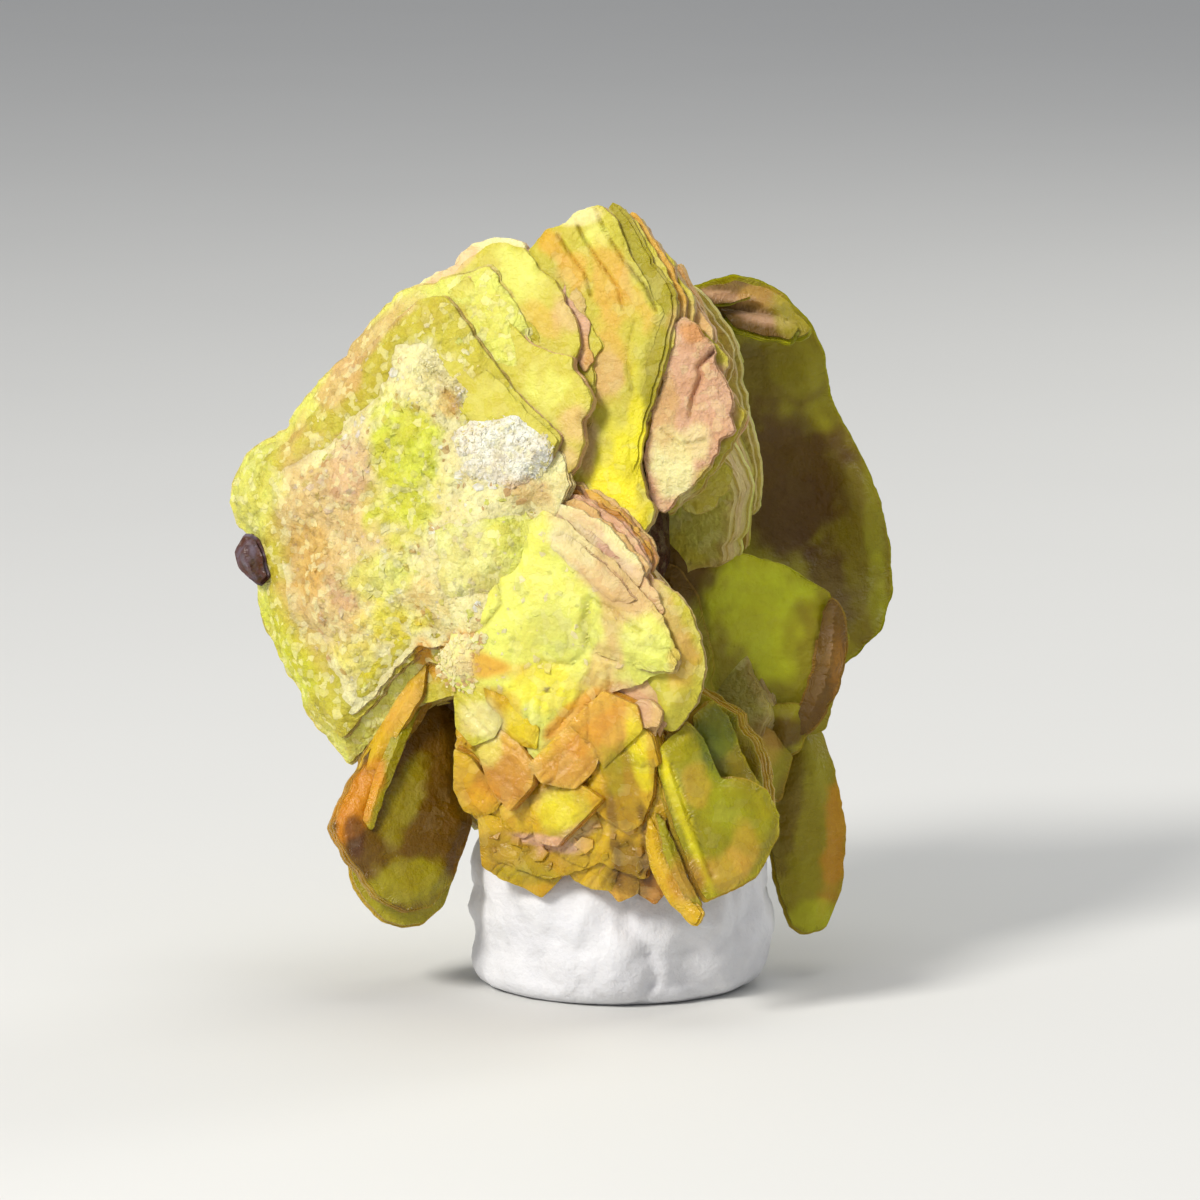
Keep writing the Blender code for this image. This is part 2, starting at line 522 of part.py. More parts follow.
def rear_fans():
    """Fans of ragged tablets that close the back and the sides, and single tablets between them."""
    fans = [
        book((-3.3, 1.7, 1.9), (-0.45, 0.12, 0.88), (2.1, 2.7), (0.3, 0.35, 0.35, 0.5, 0.7), 12, seed=1),
        book((-1.2, 4.3, 1.7), (-0.08, 0.38, 0.92), (2.1, 2.0), (0.3, 0.35, 0.4, 0.6), -8, seed=2),
        book((-0.3, 1.2, 3.3), (0.1, 0.05, 1.0), (2.1, 2.5), (0.3, 0.35, 0.35, 0.5, 0.7), 20, seed=3),
        book((-1.9, -2.0, 2.0), (-0.2, -0.4, 0.9), (2.2, 2.1), (0.3, 0.35, 0.5, 0.8), 30, seed=4),
        book((1.7, -3.2, 1.7), (0.3, -0.3, 0.9), (1.7, 1.6), (0.3, 0.4, 0.5, 0.8), -15, seed=5),
        book((1.6, 3.8, 1.0), (0.45, 0.2, 0.85), (1.4, 2.3), (0.3, 0.4, 0.6, 0.8), 10, seed=6),
    ]
    singles = [
        Tablet((-2.5, 3.4, 2.6), (0.75, 0.3, 0.6), (1.3, 1.9), 0.4, 25, seed=71),
        Tablet((-5.0, -0.7, 1.0), (-0.2, -0.75, 0.6), (1.7, 1.2), 0.4, 10, seed=72),
        Tablet((0.9, -1.0, 2.9), (0.7, -0.2, 0.65), (1.5, 1.9), 0.4, 35, seed=73),
        Tablet((-2.3, -0.2, 2.8), (-0.65, -0.25, 0.7), (1.4, 1.8), 0.4, -30, seed=74),
        Tablet((0.1, 3.5, 2.7), (0.35, 0.8, 0.5), (1.5, 1.1), 0.4, 5, seed=75),
        Tablet((-3.6, 4.0, 0.5), (-0.55, 0.6, 0.55), (1.1, 0.9), 0.35, 15, seed=76),
    ]
    return [tablet for fan in fans for tablet in fan] + singles


def dark_grain():
    """The small dark grain caught in a notch of the fan's rim."""
    outline = [
        (-7.2, 1.3), (-7.0, 1.2), (-6.85, 0.9), (-6.75, 0.5), (-6.9, 0.3), (-7.1, 0.45), (-7.3, 0.65),
        (-7.38, 0.95),
    ]
    return [Plate(outline, -1.0, (-0.3, 0.0), 0.9)]


def heart():
    """The hidden middle in which the crystals root."""
    bm = bmesh.new()
    bmesh.ops.create_icosphere(bm, subdivisions=2, radius=1.0)
    bmesh.ops.scale(bm, vec=HEART_HALF_SIZE, verts=bm.verts)
    bmesh.ops.translate(bm, vec=HEART_MIDDLE, verts=bm.verts)
    for vert in bm.verts:
        vert.co = place(vert.co)
    return bm


def object_from(bm, name):
    mesh = bpy.data.meshes.new(name)
    bm.to_mesh(mesh)
    bm.free()
    made = bpy.data.objects.new(name, mesh)
    bpy.context.scene.collection.objects.link(made)
    return made


def combine(target, helpers, operation):
    """Joins or cuts the target with the helper objects, which are then removed."""
    for helper in helpers:
        modifier = target.modifiers.new(operation.title(), "BOOLEAN")
        modifier.operation = operation
        modifier.solver = "EXACT"
        modifier.object = helper
        graph = bpy.context.evaluated_depsgraph_get()
        result = bpy.data.meshes.new_from_object(target.evaluated_get(graph))
        target.modifiers.clear()
        target.data = result
        bpy.data.objects.remove(helper)


def connected_skins(bm):
    """The faces of a mesh, in one list for each connected skin, smallest first."""
    left, skins = set(bm.faces), []
    while left:
        todo, skin = [left.pop()], []
        while todo:
            face = todo.pop()
            skin.append(face)
            for edge in face.edges:
                for other in edge.link_faces:
                    if other in left:
                        left.remove(other)
                        todo.append(other)
        skins.append(skin)
    return sorted(skins, key=len)


def keep_outer_skin(target):
    """Drops the skins of the sealed voids between the plates, so that the cluster is solid inside."""
    bm = bmesh.new()
    bm.from_mesh(target.data)
    bmesh.ops.triangulate(bm, faces=bm.faces)
    inner = [face for skin in connected_skins(bm)[:-1] for face in skin]
    bmesh.ops.delete(bm, geom=inner, context="FACES")
    bm.to_mesh(target.data)
    bm.free()


def putty_profile(grow):
    """Reach and height of each ring of the pellet, from the foot to the crown."""
    radius = PUTTY_RADIUS + grow
    return [
        (radius - PUTTY_FOOT_ROUNDING, -grow),
        (radius - 0.3 * PUTTY_FOOT_ROUNDING, 0.4 * PUTTY_FOOT_ROUNDING - grow),
        (radius, PUTTY_FOOT_ROUNDING),
        (radius, 0.6 * PUTTY_RIM_HEIGHT),
        (radius - 0.12, PUTTY_RIM_HEIGHT),
        (radius - PUTTY_SHOULDER, PUTTY_RIM_HEIGHT + 0.8 * PUTTY_SHOULDER + 0.7 * grow),
        (radius * PUTTY_CROWN_REACH, PUTTY_CROWN_HEIGHT + grow),
    ]


def putty_mesh(grow=0.0):
    """The pellet: a lobed drum with a rounded foot and a crowned top, made larger all round by grow."""
    bm = bmesh.new()
    loops = []
    for reach, height in putty_profile(grow):
        loop = []
        for side in range(PUTTY_SIDES):
            angle = 2.0 * math.pi * side / PUTTY_SIDES
            lobe = PUTTY_LOBE_DEPTH * math.sin(PUTTY_LOBES * angle + 2.0 * height)
            x, y = math.cos(angle) * (reach + lobe), math.sin(angle) * (reach + lobe)
            loop.append(bm.verts.new((x, y, height)))
        loops.append(loop)
    for low, high in zip(loops, loops[1:]):
        for i in range(PUTTY_SIDES):
            j = (i + 1) % PUTTY_SIDES
            bm.faces.new((low[i], low[j], high[j], high[i]))
    bm.faces.new(reversed(loops[0]))
    bm.faces.new(loops[-1])
    bmesh.ops.recalc_face_normals(bm, faces=bm.faces)
    return bm


def crystal_plates():
    return (
        front_left_fan()
        + front_left_flakes()
        + upper_plates()
        + upper_stack()
        + rose_plate()
        + lower_fan()
        + lower_tablets()
        + lower_leaves()
        + right_body()
        + rear_blade()
        + lower_left_blade()
        + rear_fans()
        + dark_grain()
    )


def crystal_cluster():
    cluster = object_from(heart(), "crystal_cluster")
    combine(cluster, [object_from(plate.mesh(), "plate") for plate in crystal_plates()], "UNION")
    combine(cluster, [object_from(putty_mesh(CONTACT_GAP), "socket")], "DIFFERENCE")
    keep_outer_skin(cluster)
    return cluster


def finish(made, colour, roughness):
    """Scales a piece to metres and gives it its material."""
    made.data.transform(Matrix.Scale(MM, 4))
    material = bpy.data.materials.new(made.name)
    material.use_nodes = True
    shader = material.node_tree.nodes["Principled BSDF"]
    shader.inputs["Base Color"].default_value = colour
    shader.inputs["Roughness"].default_value = roughness
    material.diffuse_color = colour
    made.data.materials.clear()
    made.data.materials.append(material)


def main():
    for old in list(bpy.data.objects):
        bpy.data.objects.remove(old)
    finish(crystal_cluster(), CRYSTAL_COLOUR, 0.45)
    finish(object_from(putty_mesh(), "mounting_putty"), PUTTY_COLOUR, 0.7)


main()
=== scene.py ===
"""The looks of a uranocircite rosette that stands in a pellet of mounting putty.

Sheets are drawn in millimetres as the specimen is seen from the front, in a display plane that leans back
by DISPLAY_TILT: u runs to the right, v upwards and w away from the viewer. Finished meshes are in metres.
"""

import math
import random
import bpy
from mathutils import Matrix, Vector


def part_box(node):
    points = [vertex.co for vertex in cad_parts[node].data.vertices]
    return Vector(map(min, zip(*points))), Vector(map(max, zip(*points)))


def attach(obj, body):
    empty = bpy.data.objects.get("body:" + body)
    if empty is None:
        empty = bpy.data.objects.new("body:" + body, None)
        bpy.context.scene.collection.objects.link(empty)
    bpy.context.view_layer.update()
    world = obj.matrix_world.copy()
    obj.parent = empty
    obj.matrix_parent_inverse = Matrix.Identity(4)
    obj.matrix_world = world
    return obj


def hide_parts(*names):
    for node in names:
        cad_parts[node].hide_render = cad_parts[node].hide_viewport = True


bl_info = {
    "name": "Uranocircite rosette",
    "version": (1, 0, 0),
    "blender": (4, 5, 0),
    "location": "View3D > Sidebar > Specimen",
    "description": "Models a rosette of tabular crystals that stands in a pellet of mounting putty",
    "category": "Add Mesh",
}

import bmesh
import bpy
import numpy as np
from mathutils import Matrix, Vector, kdtree, noise

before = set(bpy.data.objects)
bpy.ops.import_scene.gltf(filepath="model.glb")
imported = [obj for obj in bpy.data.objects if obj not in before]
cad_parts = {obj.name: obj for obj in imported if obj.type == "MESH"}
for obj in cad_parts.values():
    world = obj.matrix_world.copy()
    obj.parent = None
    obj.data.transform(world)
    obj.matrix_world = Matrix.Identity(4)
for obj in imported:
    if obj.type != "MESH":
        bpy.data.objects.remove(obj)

# The vector noise that tilts the crystal faces has a seed of its own.
noise.seed_set(1)

MM = 0.001

# How the display plane stands to the foot of the putty, and the camera in front of it, in millimetres.
DISPLAY_TILT = math.radians(9.0)
VIEW_DISTANCE = 150.0
VIEW_WIDTH = 24.0
SENSOR_WIDTH = 36.0
FOOT_ON_DISPLAY = (0.36, -7.58)
FOOT_DEPTH = 0.7

# The front family of sheets lies parallel to one gently bowed surface, nearest to the viewer at the crest.
FRONT_CREST_DEPTH = -4.7
FRONT_SLOPE = -0.40
FRONT_BOW_U = 0.015
FRONT_BOW_V = 0.018
CREST = (-0.5, 2.0)

# The slow swell of a face: its height, and how far apart its waves lie.
RELIEF = 0.13
RELIEF_SPACING = 1.5

# How strongly the spoon-shaped blade is hollowed.
SPOON_BOW = -0.085

# Mesh cells, in millimetres, from the faces that are seen closest to sheets that hardly show, and plain
# backs. All but the last have a cell of their own along the rim, and leaves that are thicker by a factor.
FINEST = 0.05
FINE = 0.07
MEDIUM = 0.12
COARSE = 0.26
BACK_CELL = 0.5
RIM_CELLS = {FINEST: 0.06, FINE: 0.06, MEDIUM: 0.1, COARSE: 0.18}
LEAF_FACTORS = {FINEST: 1.0, FINE: 1.0, MEDIUM: 1.2, COARSE: 1.6}

# An inner edge is split while it is longer than a cell by this factor, in so many rounds at most.
SPLIT_ABOVE = 1.35
SPLIT_ROUNDS = 9

# Relief fades out over this width along a rim, and the layered colour of the rim over its own.
RIM_FADE = 0.2
EDGE_FADE = 0.09

RIGHT = Vector((1.0, 0.0, 0.0))
UP = Vector((0.0, math.sin(DISPLAY_TILT), math.cos(DISPLAY_TILT)))
AWAY = Vector((0.0, math.cos(DISPLAY_TILT), -math.sin(DISPLAY_TILT)))
FOOT_SPREAD = 1.0 + FOOT_DEPTH / VIEW_DISTANCE
DISPLAY_MIDDLE = -FOOT_SPREAD * (FOOT_ON_DISPLAY[0] * RIGHT + FOOT_ON_DISPLAY[1] * UP) - FOOT_DEPTH * AWAY


def linear(red, green, blue):
    """A scene-linear colour from the values that a picture of it shows, 0 to 1."""
    return tuple(c / 12.92 if c <= 0.04045 else ((c + 0.055) / 1.055) ** 2.4 for c in (red, green, blue))


def colour_property(name, description, red, green, blue):
    return bpy.props.FloatVectorProperty(
        name=name,
        description=description,
        subtype="COLOR",
        size=3,
        min=0.0,
        max=1.0,
        default=linear(red, green, blue),
    )


class CrystalColours(bpy.types.PropertyGroup):
    """The tints that the crystals are stained with; the olive, bark and umber tints are partly painted shade
    as well.
    """

    lemon: colour_property("Lemon", "Clean smooth plates", 0.89, 0.9, 0.42)
    bright: colour_property("Bright yellow", "Freshest, most saturated plates", 0.94, 0.89, 0.1)
    lime: colour_property("Lime", "Thick clear growth", 0.82, 0.85, 0.1)
    straw: colour_property("Straw", "Olive-yellow smooth plates", 0.79, 0.75, 0.24)
    cream: colour_property("Cream", "Powdery faces", 0.95, 0.92, 0.66)
    druse: colour_property("Druse", "Patches of tiny crystals", 0.99, 0.99, 0.91)
    ochre: colour_property("Ochre", "Light iron staining", 0.86, 0.67, 0.26)
    rose: colour_property("Rose", "Pinkish brown film", 0.86, 0.68, 0.54)
    tan: colour_property("Tan", "Pale brown mottling", 0.86, 0.71, 0.46)
    iron: colour_property("Iron", "Strong orange staining", 0.87, 0.57, 0.08)
    amber: colour_property("Amber", "Blocky tablets near the putty", 0.83, 0.67, 0.12)
    brick: colour_property("Brick", "Reddish brown tablets", 0.72, 0.5, 0.18)
    # Olive is partly the blades' own olive-yellow and partly painted shade: it is darkened for the shade
    # that the rear and right-hand blades lie in.
    olive: colour_property("Olive", "Shaded blades", 0.64, 0.6, 0.05)
    moss: colour_property("Moss", "Green core of the lower leaf", 0.44, 0.48, 0.1)
    # Bark is partly a real brown film and partly painted shade: it darkens the middle of the rear blade, the
    # shaded face of the lower left blade, the hollow right of the crevice and the shaded leaves low on the
    # right.
    bark: colour_property("Bark", "Brown film on the rear blade", 0.42, 0.3, 0.02)
    # Umber is the real colour of the dark grain and of small dark specks, and elsewhere painted shade: it
    # darkens grooves and cracks, tints the dark core and the sheet behind the crevices, and draws dark lines
    # between tablets.
    umber: colour_property("Umber", "Deep crevices", 0.3, 0.15, 0.07)


class CrystalShape(bpy.types.PropertyGroup):
    """How the crystal sheets are broken and layered."""

    leaf: bpy.props.FloatProperty(
        name="Leaf thickness",
        description="Mean thickness of one leaf in a sheet, in millimetres",
        default=0.085,
        min=0.03,
        max=0.4,
    )
    rag: bpy.props.FloatProperty(
        name="Ragged rims",
        description="How far rims wander in and out, in millimetres",
        default=0.07,
        min=0.0,
        max=0.4,
    )
    slip: bpy.props.FloatProperty(
        name="Leaf slip",
        description="How far a leaf stands out past the one in front of it, in millimetres",
        default=0.05,
        min=0.0,
        max=0.3,
    )


class PuttyLook(bpy.types.PropertyGroup):
    """The mounting putty."""

    colour: colour_property("Colour", "Colour of the putty", 0.88, 0.88, 0.89)
    dents: bpy.props.FloatProperty(
        name="Dents",
        description="Depth of the finger dents and folds",
        default=0.00028,
        min=0.0,
        max=0.001,
        unit="LENGTH",
    )


class StageLook(bpy.types.PropertyGroup):
    """The floor and the studio light."""

    floor: colour_property("Floor", "Colour of the floor", 0.84, 0.84, 0.83)
    key_power: bpy.props.FloatProperty(
        name="Key light",
        description="Power of the main light",
        default=0.34,
        min=0.0,
        unit="POWER",
    )
    sky: bpy.props.FloatProperty(
        name="Sky",
        description="Strength of the even light from all round",
        default=0.39,
        min=0.0,
    )


class SpecimenSettings(bpy.types.PropertyGroup):
    """All settings of the specimen."""

    colours: bpy.props.PointerProperty(type=CrystalColours)
    shape: bpy.props.PointerProperty(type=CrystalShape)
    putty: bpy.props.PointerProperty(type=PuttyLook)
    stage: bpy.props.PointerProperty(type=StageLook)


def settings():
    return bpy.context.scene.specimen


def tint(name):
    return np.array(getattr(settings().colours, name)[:])


def placed(points):
    """The row-frame points, in millimetres, of rows of display points (u, v, w)."""
    u, v, w = points.T[:, :, None]
    spread = 1.0 + w / VIEW_DISTANCE
    return np.array(DISPLAY_MIDDLE) + (u * np.array(RIGHT) + v * np.array(UP)) * spread + w * np.array(AWAY)


def front_surface(u, v):
    """Depth of the front family's outermost surface at a display point, and its lean there."""
    du, dv = u - CREST[0], v - CREST[1]
    depth = FRONT_CREST_DEPTH + FRONT_SLOPE * u + FRONT_BOW_U * du * du + FRONT_BOW_V * dv * dv
    return depth, (FRONT_SLOPE + 2.0 * FRONT_BOW_U * du, 2.0 * FRONT_BOW_V * dv)


def middle_of(outline):
    return (
        sum(u for u, _ in outline) / len(outline),
        sum(v for _, v in outline) / len(outline),
    )


def shrunk(outline, share, shift=(0.0, 0.0)):
    """The outline drawn in towards its own middle, then moved."""
    uc, vc = middle_of(outline)
    return [(uc + (u - uc) * share + shift[0], vc + (v - vc) * share + shift[1]) for u, v in outline]


def eased(value, low, high):
    """Rises smoothly from 0 at low to 1 at high."""
    share = min(1.0, max(0.0, (value - low) / (high - low)))
    return share * share * (3.0 - 2.0 * share)


def faceted(a, b, seed, size):
    """Height of small tilted crystal faces that meet at sharp lines, about -1 to 1."""
    point = Vector((a / size, b / size, seed * 3.7))
    site = noise.voronoi(point)[1][0]
    tilt = noise.noise_vector(site * 2.3)
    return tilt.x * (point.x - site.x) + tilt.y * (point.y - site.y) + 0.8 * tilt.z


def face_height(face, a, b, seed):
    """Relief of a crystal face of some kind, about -1 to 1."""
    point = Vector((a, b, seed * 1.3))
    if face == "smooth":
        return (
            0.7 * noise.noise(point * 0.6)
            + 0.3 * noise.noise(point * 1.8)
            + 0.08 * noise.noise(point * 6.0)
        )
    if face == "flat":
        return 0.5 * noise.noise(point * 1.2) + 0.3 * faceted(a, b, seed, 0.5)
    return (
        0.6 * noise.noise(point * 0.9)
        + 0.45 * noise.noise(point * 2.3)
        + 0.18 * faceted(a, b, seed, 0.32)
        + 0.12 * noise.noise(point * 8.0)
    )


class Groove:
    """A narrow crack along a line of face points, whose darkening is painted shade in the crack."""

    def __init__(self, line, depth=0.12, width=0.06, dark=0.75):
        self.line = [Vector((a, b)) for a, b in line]
        self.depth = depth
        self.width = width
        self.dark = dark

    def at(self, a, b):
        """How much of the groove's depth lies at a point, 0 to 1."""
        point = Vector((a, b))
        nearest = 1e9
        for start, end in zip(self.line, self.line[1:]):
            along = end - start
            share = min(1.0, max(0.0, (point - start).dot(along) / along.length_squared))
            nearest = min(nearest, (point - start - along * share).length)
        return math.exp(-((nearest / self.width) ** 2))


def cleavage(outline, angle, spacing=0.22, count=4):
    """Straight shallow lines across an outline, unevenly spaced, at about an angle in degrees, each darkened
    with painted shade by its depth.
    """
    middle = Vector(middle_of(outline))
    chance = random.Random(middle.x + 10.0 * middle.y)
    lines = []
    for i in range(count):
        turned = math.radians(angle + chance.uniform(-5.0, 5.0))
        along = Vector((math.cos(turned), math.sin(turned)))
        across = Vector((-along.y, along.x))
        start = middle + across * spacing * (i + 0.5 - 0.5 * count + chance.uniform(-0.45, 0.45))
        depth = chance.uniform(0.008, 0.035)
        lines.append(Groove([start - along, start + along], depth, 0.03, 7.0 * depth))
    return tuple(lines)


# How a sheet is finished unless it is told otherwise; lengths are in millimetres.
FINISH = {
    "tint": "straw",
    "face": "smooth",
    "fine": 0.03,
    "cell": COARSE,
    "rag": 1.0,
    "slip": 1.0,
    "soft": 0.0,
    "soft_width": 0.3,
    "grooves": (),
    "two_sided": False,
}


class Sheet:
    """A crystal sheet seen from the front: where its face lies, its thickness, and how it is finished."""

    def __init__(self, outline, depth, lean, thickness, bow=0.0, relief=0.0, **finish):
        self.outline = outline
        self.middle = middle_of(outline)
        self.depth = depth
        self.lean = lean
        self.thickness = thickness
        self.bow = bow
        self.relief = relief
        self.inwards = Vector((-lean[0], -lean[1], 1.0)).normalized()
        self.__dict__.update(FINISH | finish)

    def at(self, a, b, d):
        du, dv = a - self.middle[0], b - self.middle[1]
        swell = noise.noise(Vector((a, b, self.depth)) / RELIEF_SPACING)
        w = self.depth + self.lean[0] * du + self.lean[1] * dv
        w += self.bow * (du * du + dv * dv) + self.relief * swell
        return Vector((a, b, w)) + self.inwards * d


class Tablet:
    """A tabular crystal that faces any way: an oblong with straight cut corners and a ragged rim."""

    CORNERS = 13
    SQUARENESS = 0.30
    RAGGEDNESS = 0.11

    def __init__(self, centre, facing, half_size, thickness, twist=0.0, seed=0, **finish):
        self.centre = Vector(centre)
        self.facing = Vector(facing).normalized()
        self.inwards = -self.facing
        self.thickness = thickness
        across = Vector((0.0, 1.0, 0.0)).cross(self.facing).normalized()
        along = self.facing.cross(across)
        turn = Matrix.Rotation(math.radians(twist), 3, self.facing)
        self.across, self.along = turn @ across, turn @ along
        self.outline = self.rim(half_size, random.Random(seed))
        self.__dict__.update(FINISH | finish)

    def rim(self, half_size, chance):
        points = []
        for corner in range(self.CORNERS):
            angle = 2.0 * math.pi * (corner + chance.uniform(-0.3, 0.3)) / self.CORNERS
            reach = 1.0 + self.SQUARENESS * abs(math.sin(2.0 * angle)) ** 3
            reach *= 1.0 + chance.uniform(-self.RAGGEDNESS, self.RAGGEDNESS)
            points.append((half_size[0] * reach * math.cos(angle), half_size[1] * reach * math.sin(angle)))
        return points

    def at(self, a, b, d):
        return self.centre + self.across * a + self.along * b + self.inwards * d


# How far the tablets of a book reach into one another and slip sideways, in millimetres, and how much
# wider each is than the one before.
BOOK_OVERLAP = 0.1
BOOK_SLIP = 0.22
BOOK_GROWTH = 0.07


def book(centre, facing, half_size, thicknesses, twist=0.0, seed=0, tints=("straw",)):
    """Tablets stacked inwards from the outermost one, each a little wider and slipped to one side."""
    centre, facing = Vector(centre), Vector(facing).normalized()
    chance = random.Random(seed)
    tablets, sunk = [], 0.0
    for layer, thickness in enumerate(thicknesses):
        grown = 1.0 + BOOK_GROWTH * layer
        slip = Vector((chance.uniform(-BOOK_SLIP, BOOK_SLIP), chance.uniform(-BOOK_SLIP, BOOK_SLIP), 0.0))
        tablets.append(
            Tablet(
                centre - facing * sunk + slip,
                facing,
                (half_size[0] * grown, half_size[1] * grown),
                thickness + BOOK_OVERLAP,
                twist + chance.uniform(-7.0, 7.0),
                seed=10 * seed + layer,
                tint=tints[layer % len(tints)],
                cell=COARSE if layer else MEDIUM,
                two_sided=layer == len(thicknesses) - 1,
                fine=0.05,
                soft=0.04,
            )
        )
        sunk += thickness
    return tablets


def face_sink(sheet, a, b, away):
    """How far a face point lies behind the sheet's plane, and how much painted shade darkens a crack there.
    """
    sink = sheet.fine * face_height(sheet.face, a, b, sheet.seed) * min(1.0, 0.2 + away / RIM_FADE)
    sink += sheet.soft * (1.0 - eased(away, 0.0, sheet.soft_width))
    dark = 0.0
    for groove in sheet.grooves:
        share = groove.at(a, b)
        sink += groove.depth * share
        dark = max(dark, groove.dark * share)
    return sink, dark


def on_face(sheet, a, b):
    """The point of a finished sheet's face over (a, b)."""
    away = sheet.rim_tree.find(Vector((a, b, 0.0)))[2]
    return sheet.at(a, b, face_sink(sheet, a, b, away)[0])


# Making the meshes of sheets.


def walked(bm):
    """The vertices of a closed wire loop in order, counterclockwise."""
    start = next(iter(bm.verts))
    loop, edge = [start], start.link_edges[0]
    while True:
        vert = edge.other_vert(loop[-1])
        if vert is start:
            break
        loop.append(vert)
        edge = next(e for e in vert.link_edges if e is not edge)
    area = sum(a.co.x * b.co.y - b.co.x * a.co.y for a, b in zip(loop, loop[1:] + loop[:1]))
    return loop if area > 0.0 else loop[::-1]


def outward_of(loop):
    """For each vertex of a counterclockwise loop, the direction out of the loop."""
    outward = []
    for i, vert in enumerate(loop):
        tangent = loop[(i + 1) % len(loop)].co - loop[i - 1].co
        outward.append(Vector((tangent.y, -tangent.x, 0.0)).normalized())
    return outward


def wander(point, seed):
    """How far a rim wanders at a point, about -1 to 1, with chips broken out of it."""
    slow = noise.noise(Vector((point.x * 1.3, point.y * 1.3, seed)))
    quick = noise.noise(Vector((point.x * 5.0, point.y * 5.0, seed + 7.0)))
    torn = noise.noise(Vector((point.x * 11.0, point.y * 11.0, seed + 13.0)))
    chip = max(0.0, noise.noise(Vector((point.x * 2.2, point.y * 2.2, seed + 19.0))) - 0.22)
    return 0.6 * slow + 0.5 * quick + 0.35 * torn - 3.0 * chip


def inner_edges(bm, faces):
    """The edges that lie between two of the faces, in the order of the mesh."""
    members = set(faces)
    return [edge for edge in bm.edges if len(edge.link_faces) == 2 and members.issuperset(edge.link_faces)]


def split_inside(bm, faces, cell):
    """Splits the long inner edges of flat faces until none is much longer than a cell."""
    for _ in range(SPLIT_ROUNDS):
        long = [edge for edge in inner_edges(bm, faces) if edge.calc_length() > cell * SPLIT_ABOVE]
        if not long:
            break
        others = set(bm.faces) - set(faces)
        bmesh.ops.subdivide_edges(bm, edges=long, cuts=1)
        wide = [face for face in bm.faces if face not in others and len(face.verts) > 3]
        bmesh.ops.triangulate(bm, faces=wide)
        faces = [face for face in bm.faces if face not in others]
        bmesh.ops.beautify_fill(bm, faces=faces, edges=inner_edges(bm, faces))
        faces = [face for face in bm.faces if face not in others]


def sheet_mesh(sheet, seed):
    """A closed sheet of leaves in its own plane: x and y along the face, z behind it."""
    shape = settings().shape
    chance = random.Random(seed)
    bm = bmesh.new()
    rim = bm.verts.layers.int.new("rim")
    rim_cell = RIM_CELLS[sheet.cell]
    leaf_depth = shape.leaf * LEAF_FACTORS[sheet.cell]
    corners = [bm.verts.new((a, b, 0.0)) for a, b in sheet.outline]
    sides = [bm.edges.new((vert, corners[i - 1])) for i, vert in enumerate(corners)]
    by_cuts = {}
    for side in sides:
        by_cuts.setdefault(int(side.calc_length() / rim_cell), []).append(side)
    for cuts, group in sorted(by_cuts.items()):
        if cuts:
            bmesh.ops.subdivide_edges(bm, edges=group, cuts=cuts)
    bmesh.ops.smooth_vert(bm, verts=bm.verts, factor=0.5, use_axis_x=True, use_axis_y=True)
    loop = walked(bm)
    outward = outward_of(loop)
    for i, vert in enumerate(loop):
        vert[rim] = i + 1
    reach = shape.rag * sheet.rag
    for vert, away in zip(loop, outward):
        vert.co += away * reach * wander(vert.co, seed)
    base = [vert.co.copy() for vert in loop]

    bmesh.ops.triangle_fill(bm, use_beauty=True, use_dissolve=False, edges=list(bm.edges))
    split_inside(bm, list(bm.faces), sheet.cell)
    inner = [vert for vert in bm.verts if not vert.is_boundary]
    for vert in inner:
        vert[rim] = 0
    for _ in range(2):
        bmesh.ops.smooth_vert(bm, verts=inner, factor=0.5, use_axis_x=True, use_axis_y=True)

    ring = [edge for edge in bm.edges if edge.is_boundary]
    leaves = max(1, round(sheet.thickness / leaf_depth))
    depth, offset = 0.0, 0.0
    for leaf in range(leaves):
        share = 1.0 / (leaves - leaf)
        if leaf < leaves - 1:
            share *= chance.uniform(0.6, 1.4)
        deeper = depth + (sheet.thickness - depth) * share
        levels = [deeper] if leaf == 0 else [depth, deeper]
        if leaf:
            offset = shape.slip * sheet.slip * chance.uniform(-1.6, 1.0)
        for level in levels:
            made = bmesh.ops.extrude_edge_only(bm, edges=ring)["geom"]
            new = {item for item in made if isinstance(item, bmesh.types.BMVert)}
            for vert in new:
                i = vert[rim] - 1
                drift = 0.6 * reach * noise.noise(base[i] * 3.0 + Vector((0.0, 0.0, seed + 5.0 * leaf)))
                vert.co = base[i] + outward[i] * (offset + (drift if leaf else 0.0))
                vert.co.z = level
            ring = [
                item for item in made
                if isinstance(item, bmesh.types.BMEdge) and all(vert in new for vert in item.verts)
            ]
        depth = deeper
    cap = bmesh.ops.triangle_fill(bm, use_beauty=True, use_dissolve=False, edges=ring)["geom"]
    known = set(bm.verts)
    back_cell = sheet.cell if sheet.two_sided else BACK_CELL
    split_inside(bm, [item for item in cap if isinstance(item, bmesh.types.BMFace)], back_cell)
    for vert in bm.verts:
        if vert not in known:
            vert[rim] = 0
    bmesh.ops.recalc_face_normals(bm, faces=bm.faces)
    bmesh.ops.triangulate(bm, faces=bm.faces)
    return bm, base


def arrays_of(bm):
    """The points and the corners of the faces of a mesh, which is then freed."""
    bm.verts.index_update()
    points = np.array([vert.co[:] for vert in bm.verts])
    faces = np.array([[vert.index for vert in face.verts] for face in bm.faces])
    bm.free()
    return points, faces


def linked(name, data):
    """A new object in the scene."""
    made = bpy.data.objects.new(name, data)
    bpy.context.scene.collection.objects.link(made)
    return made


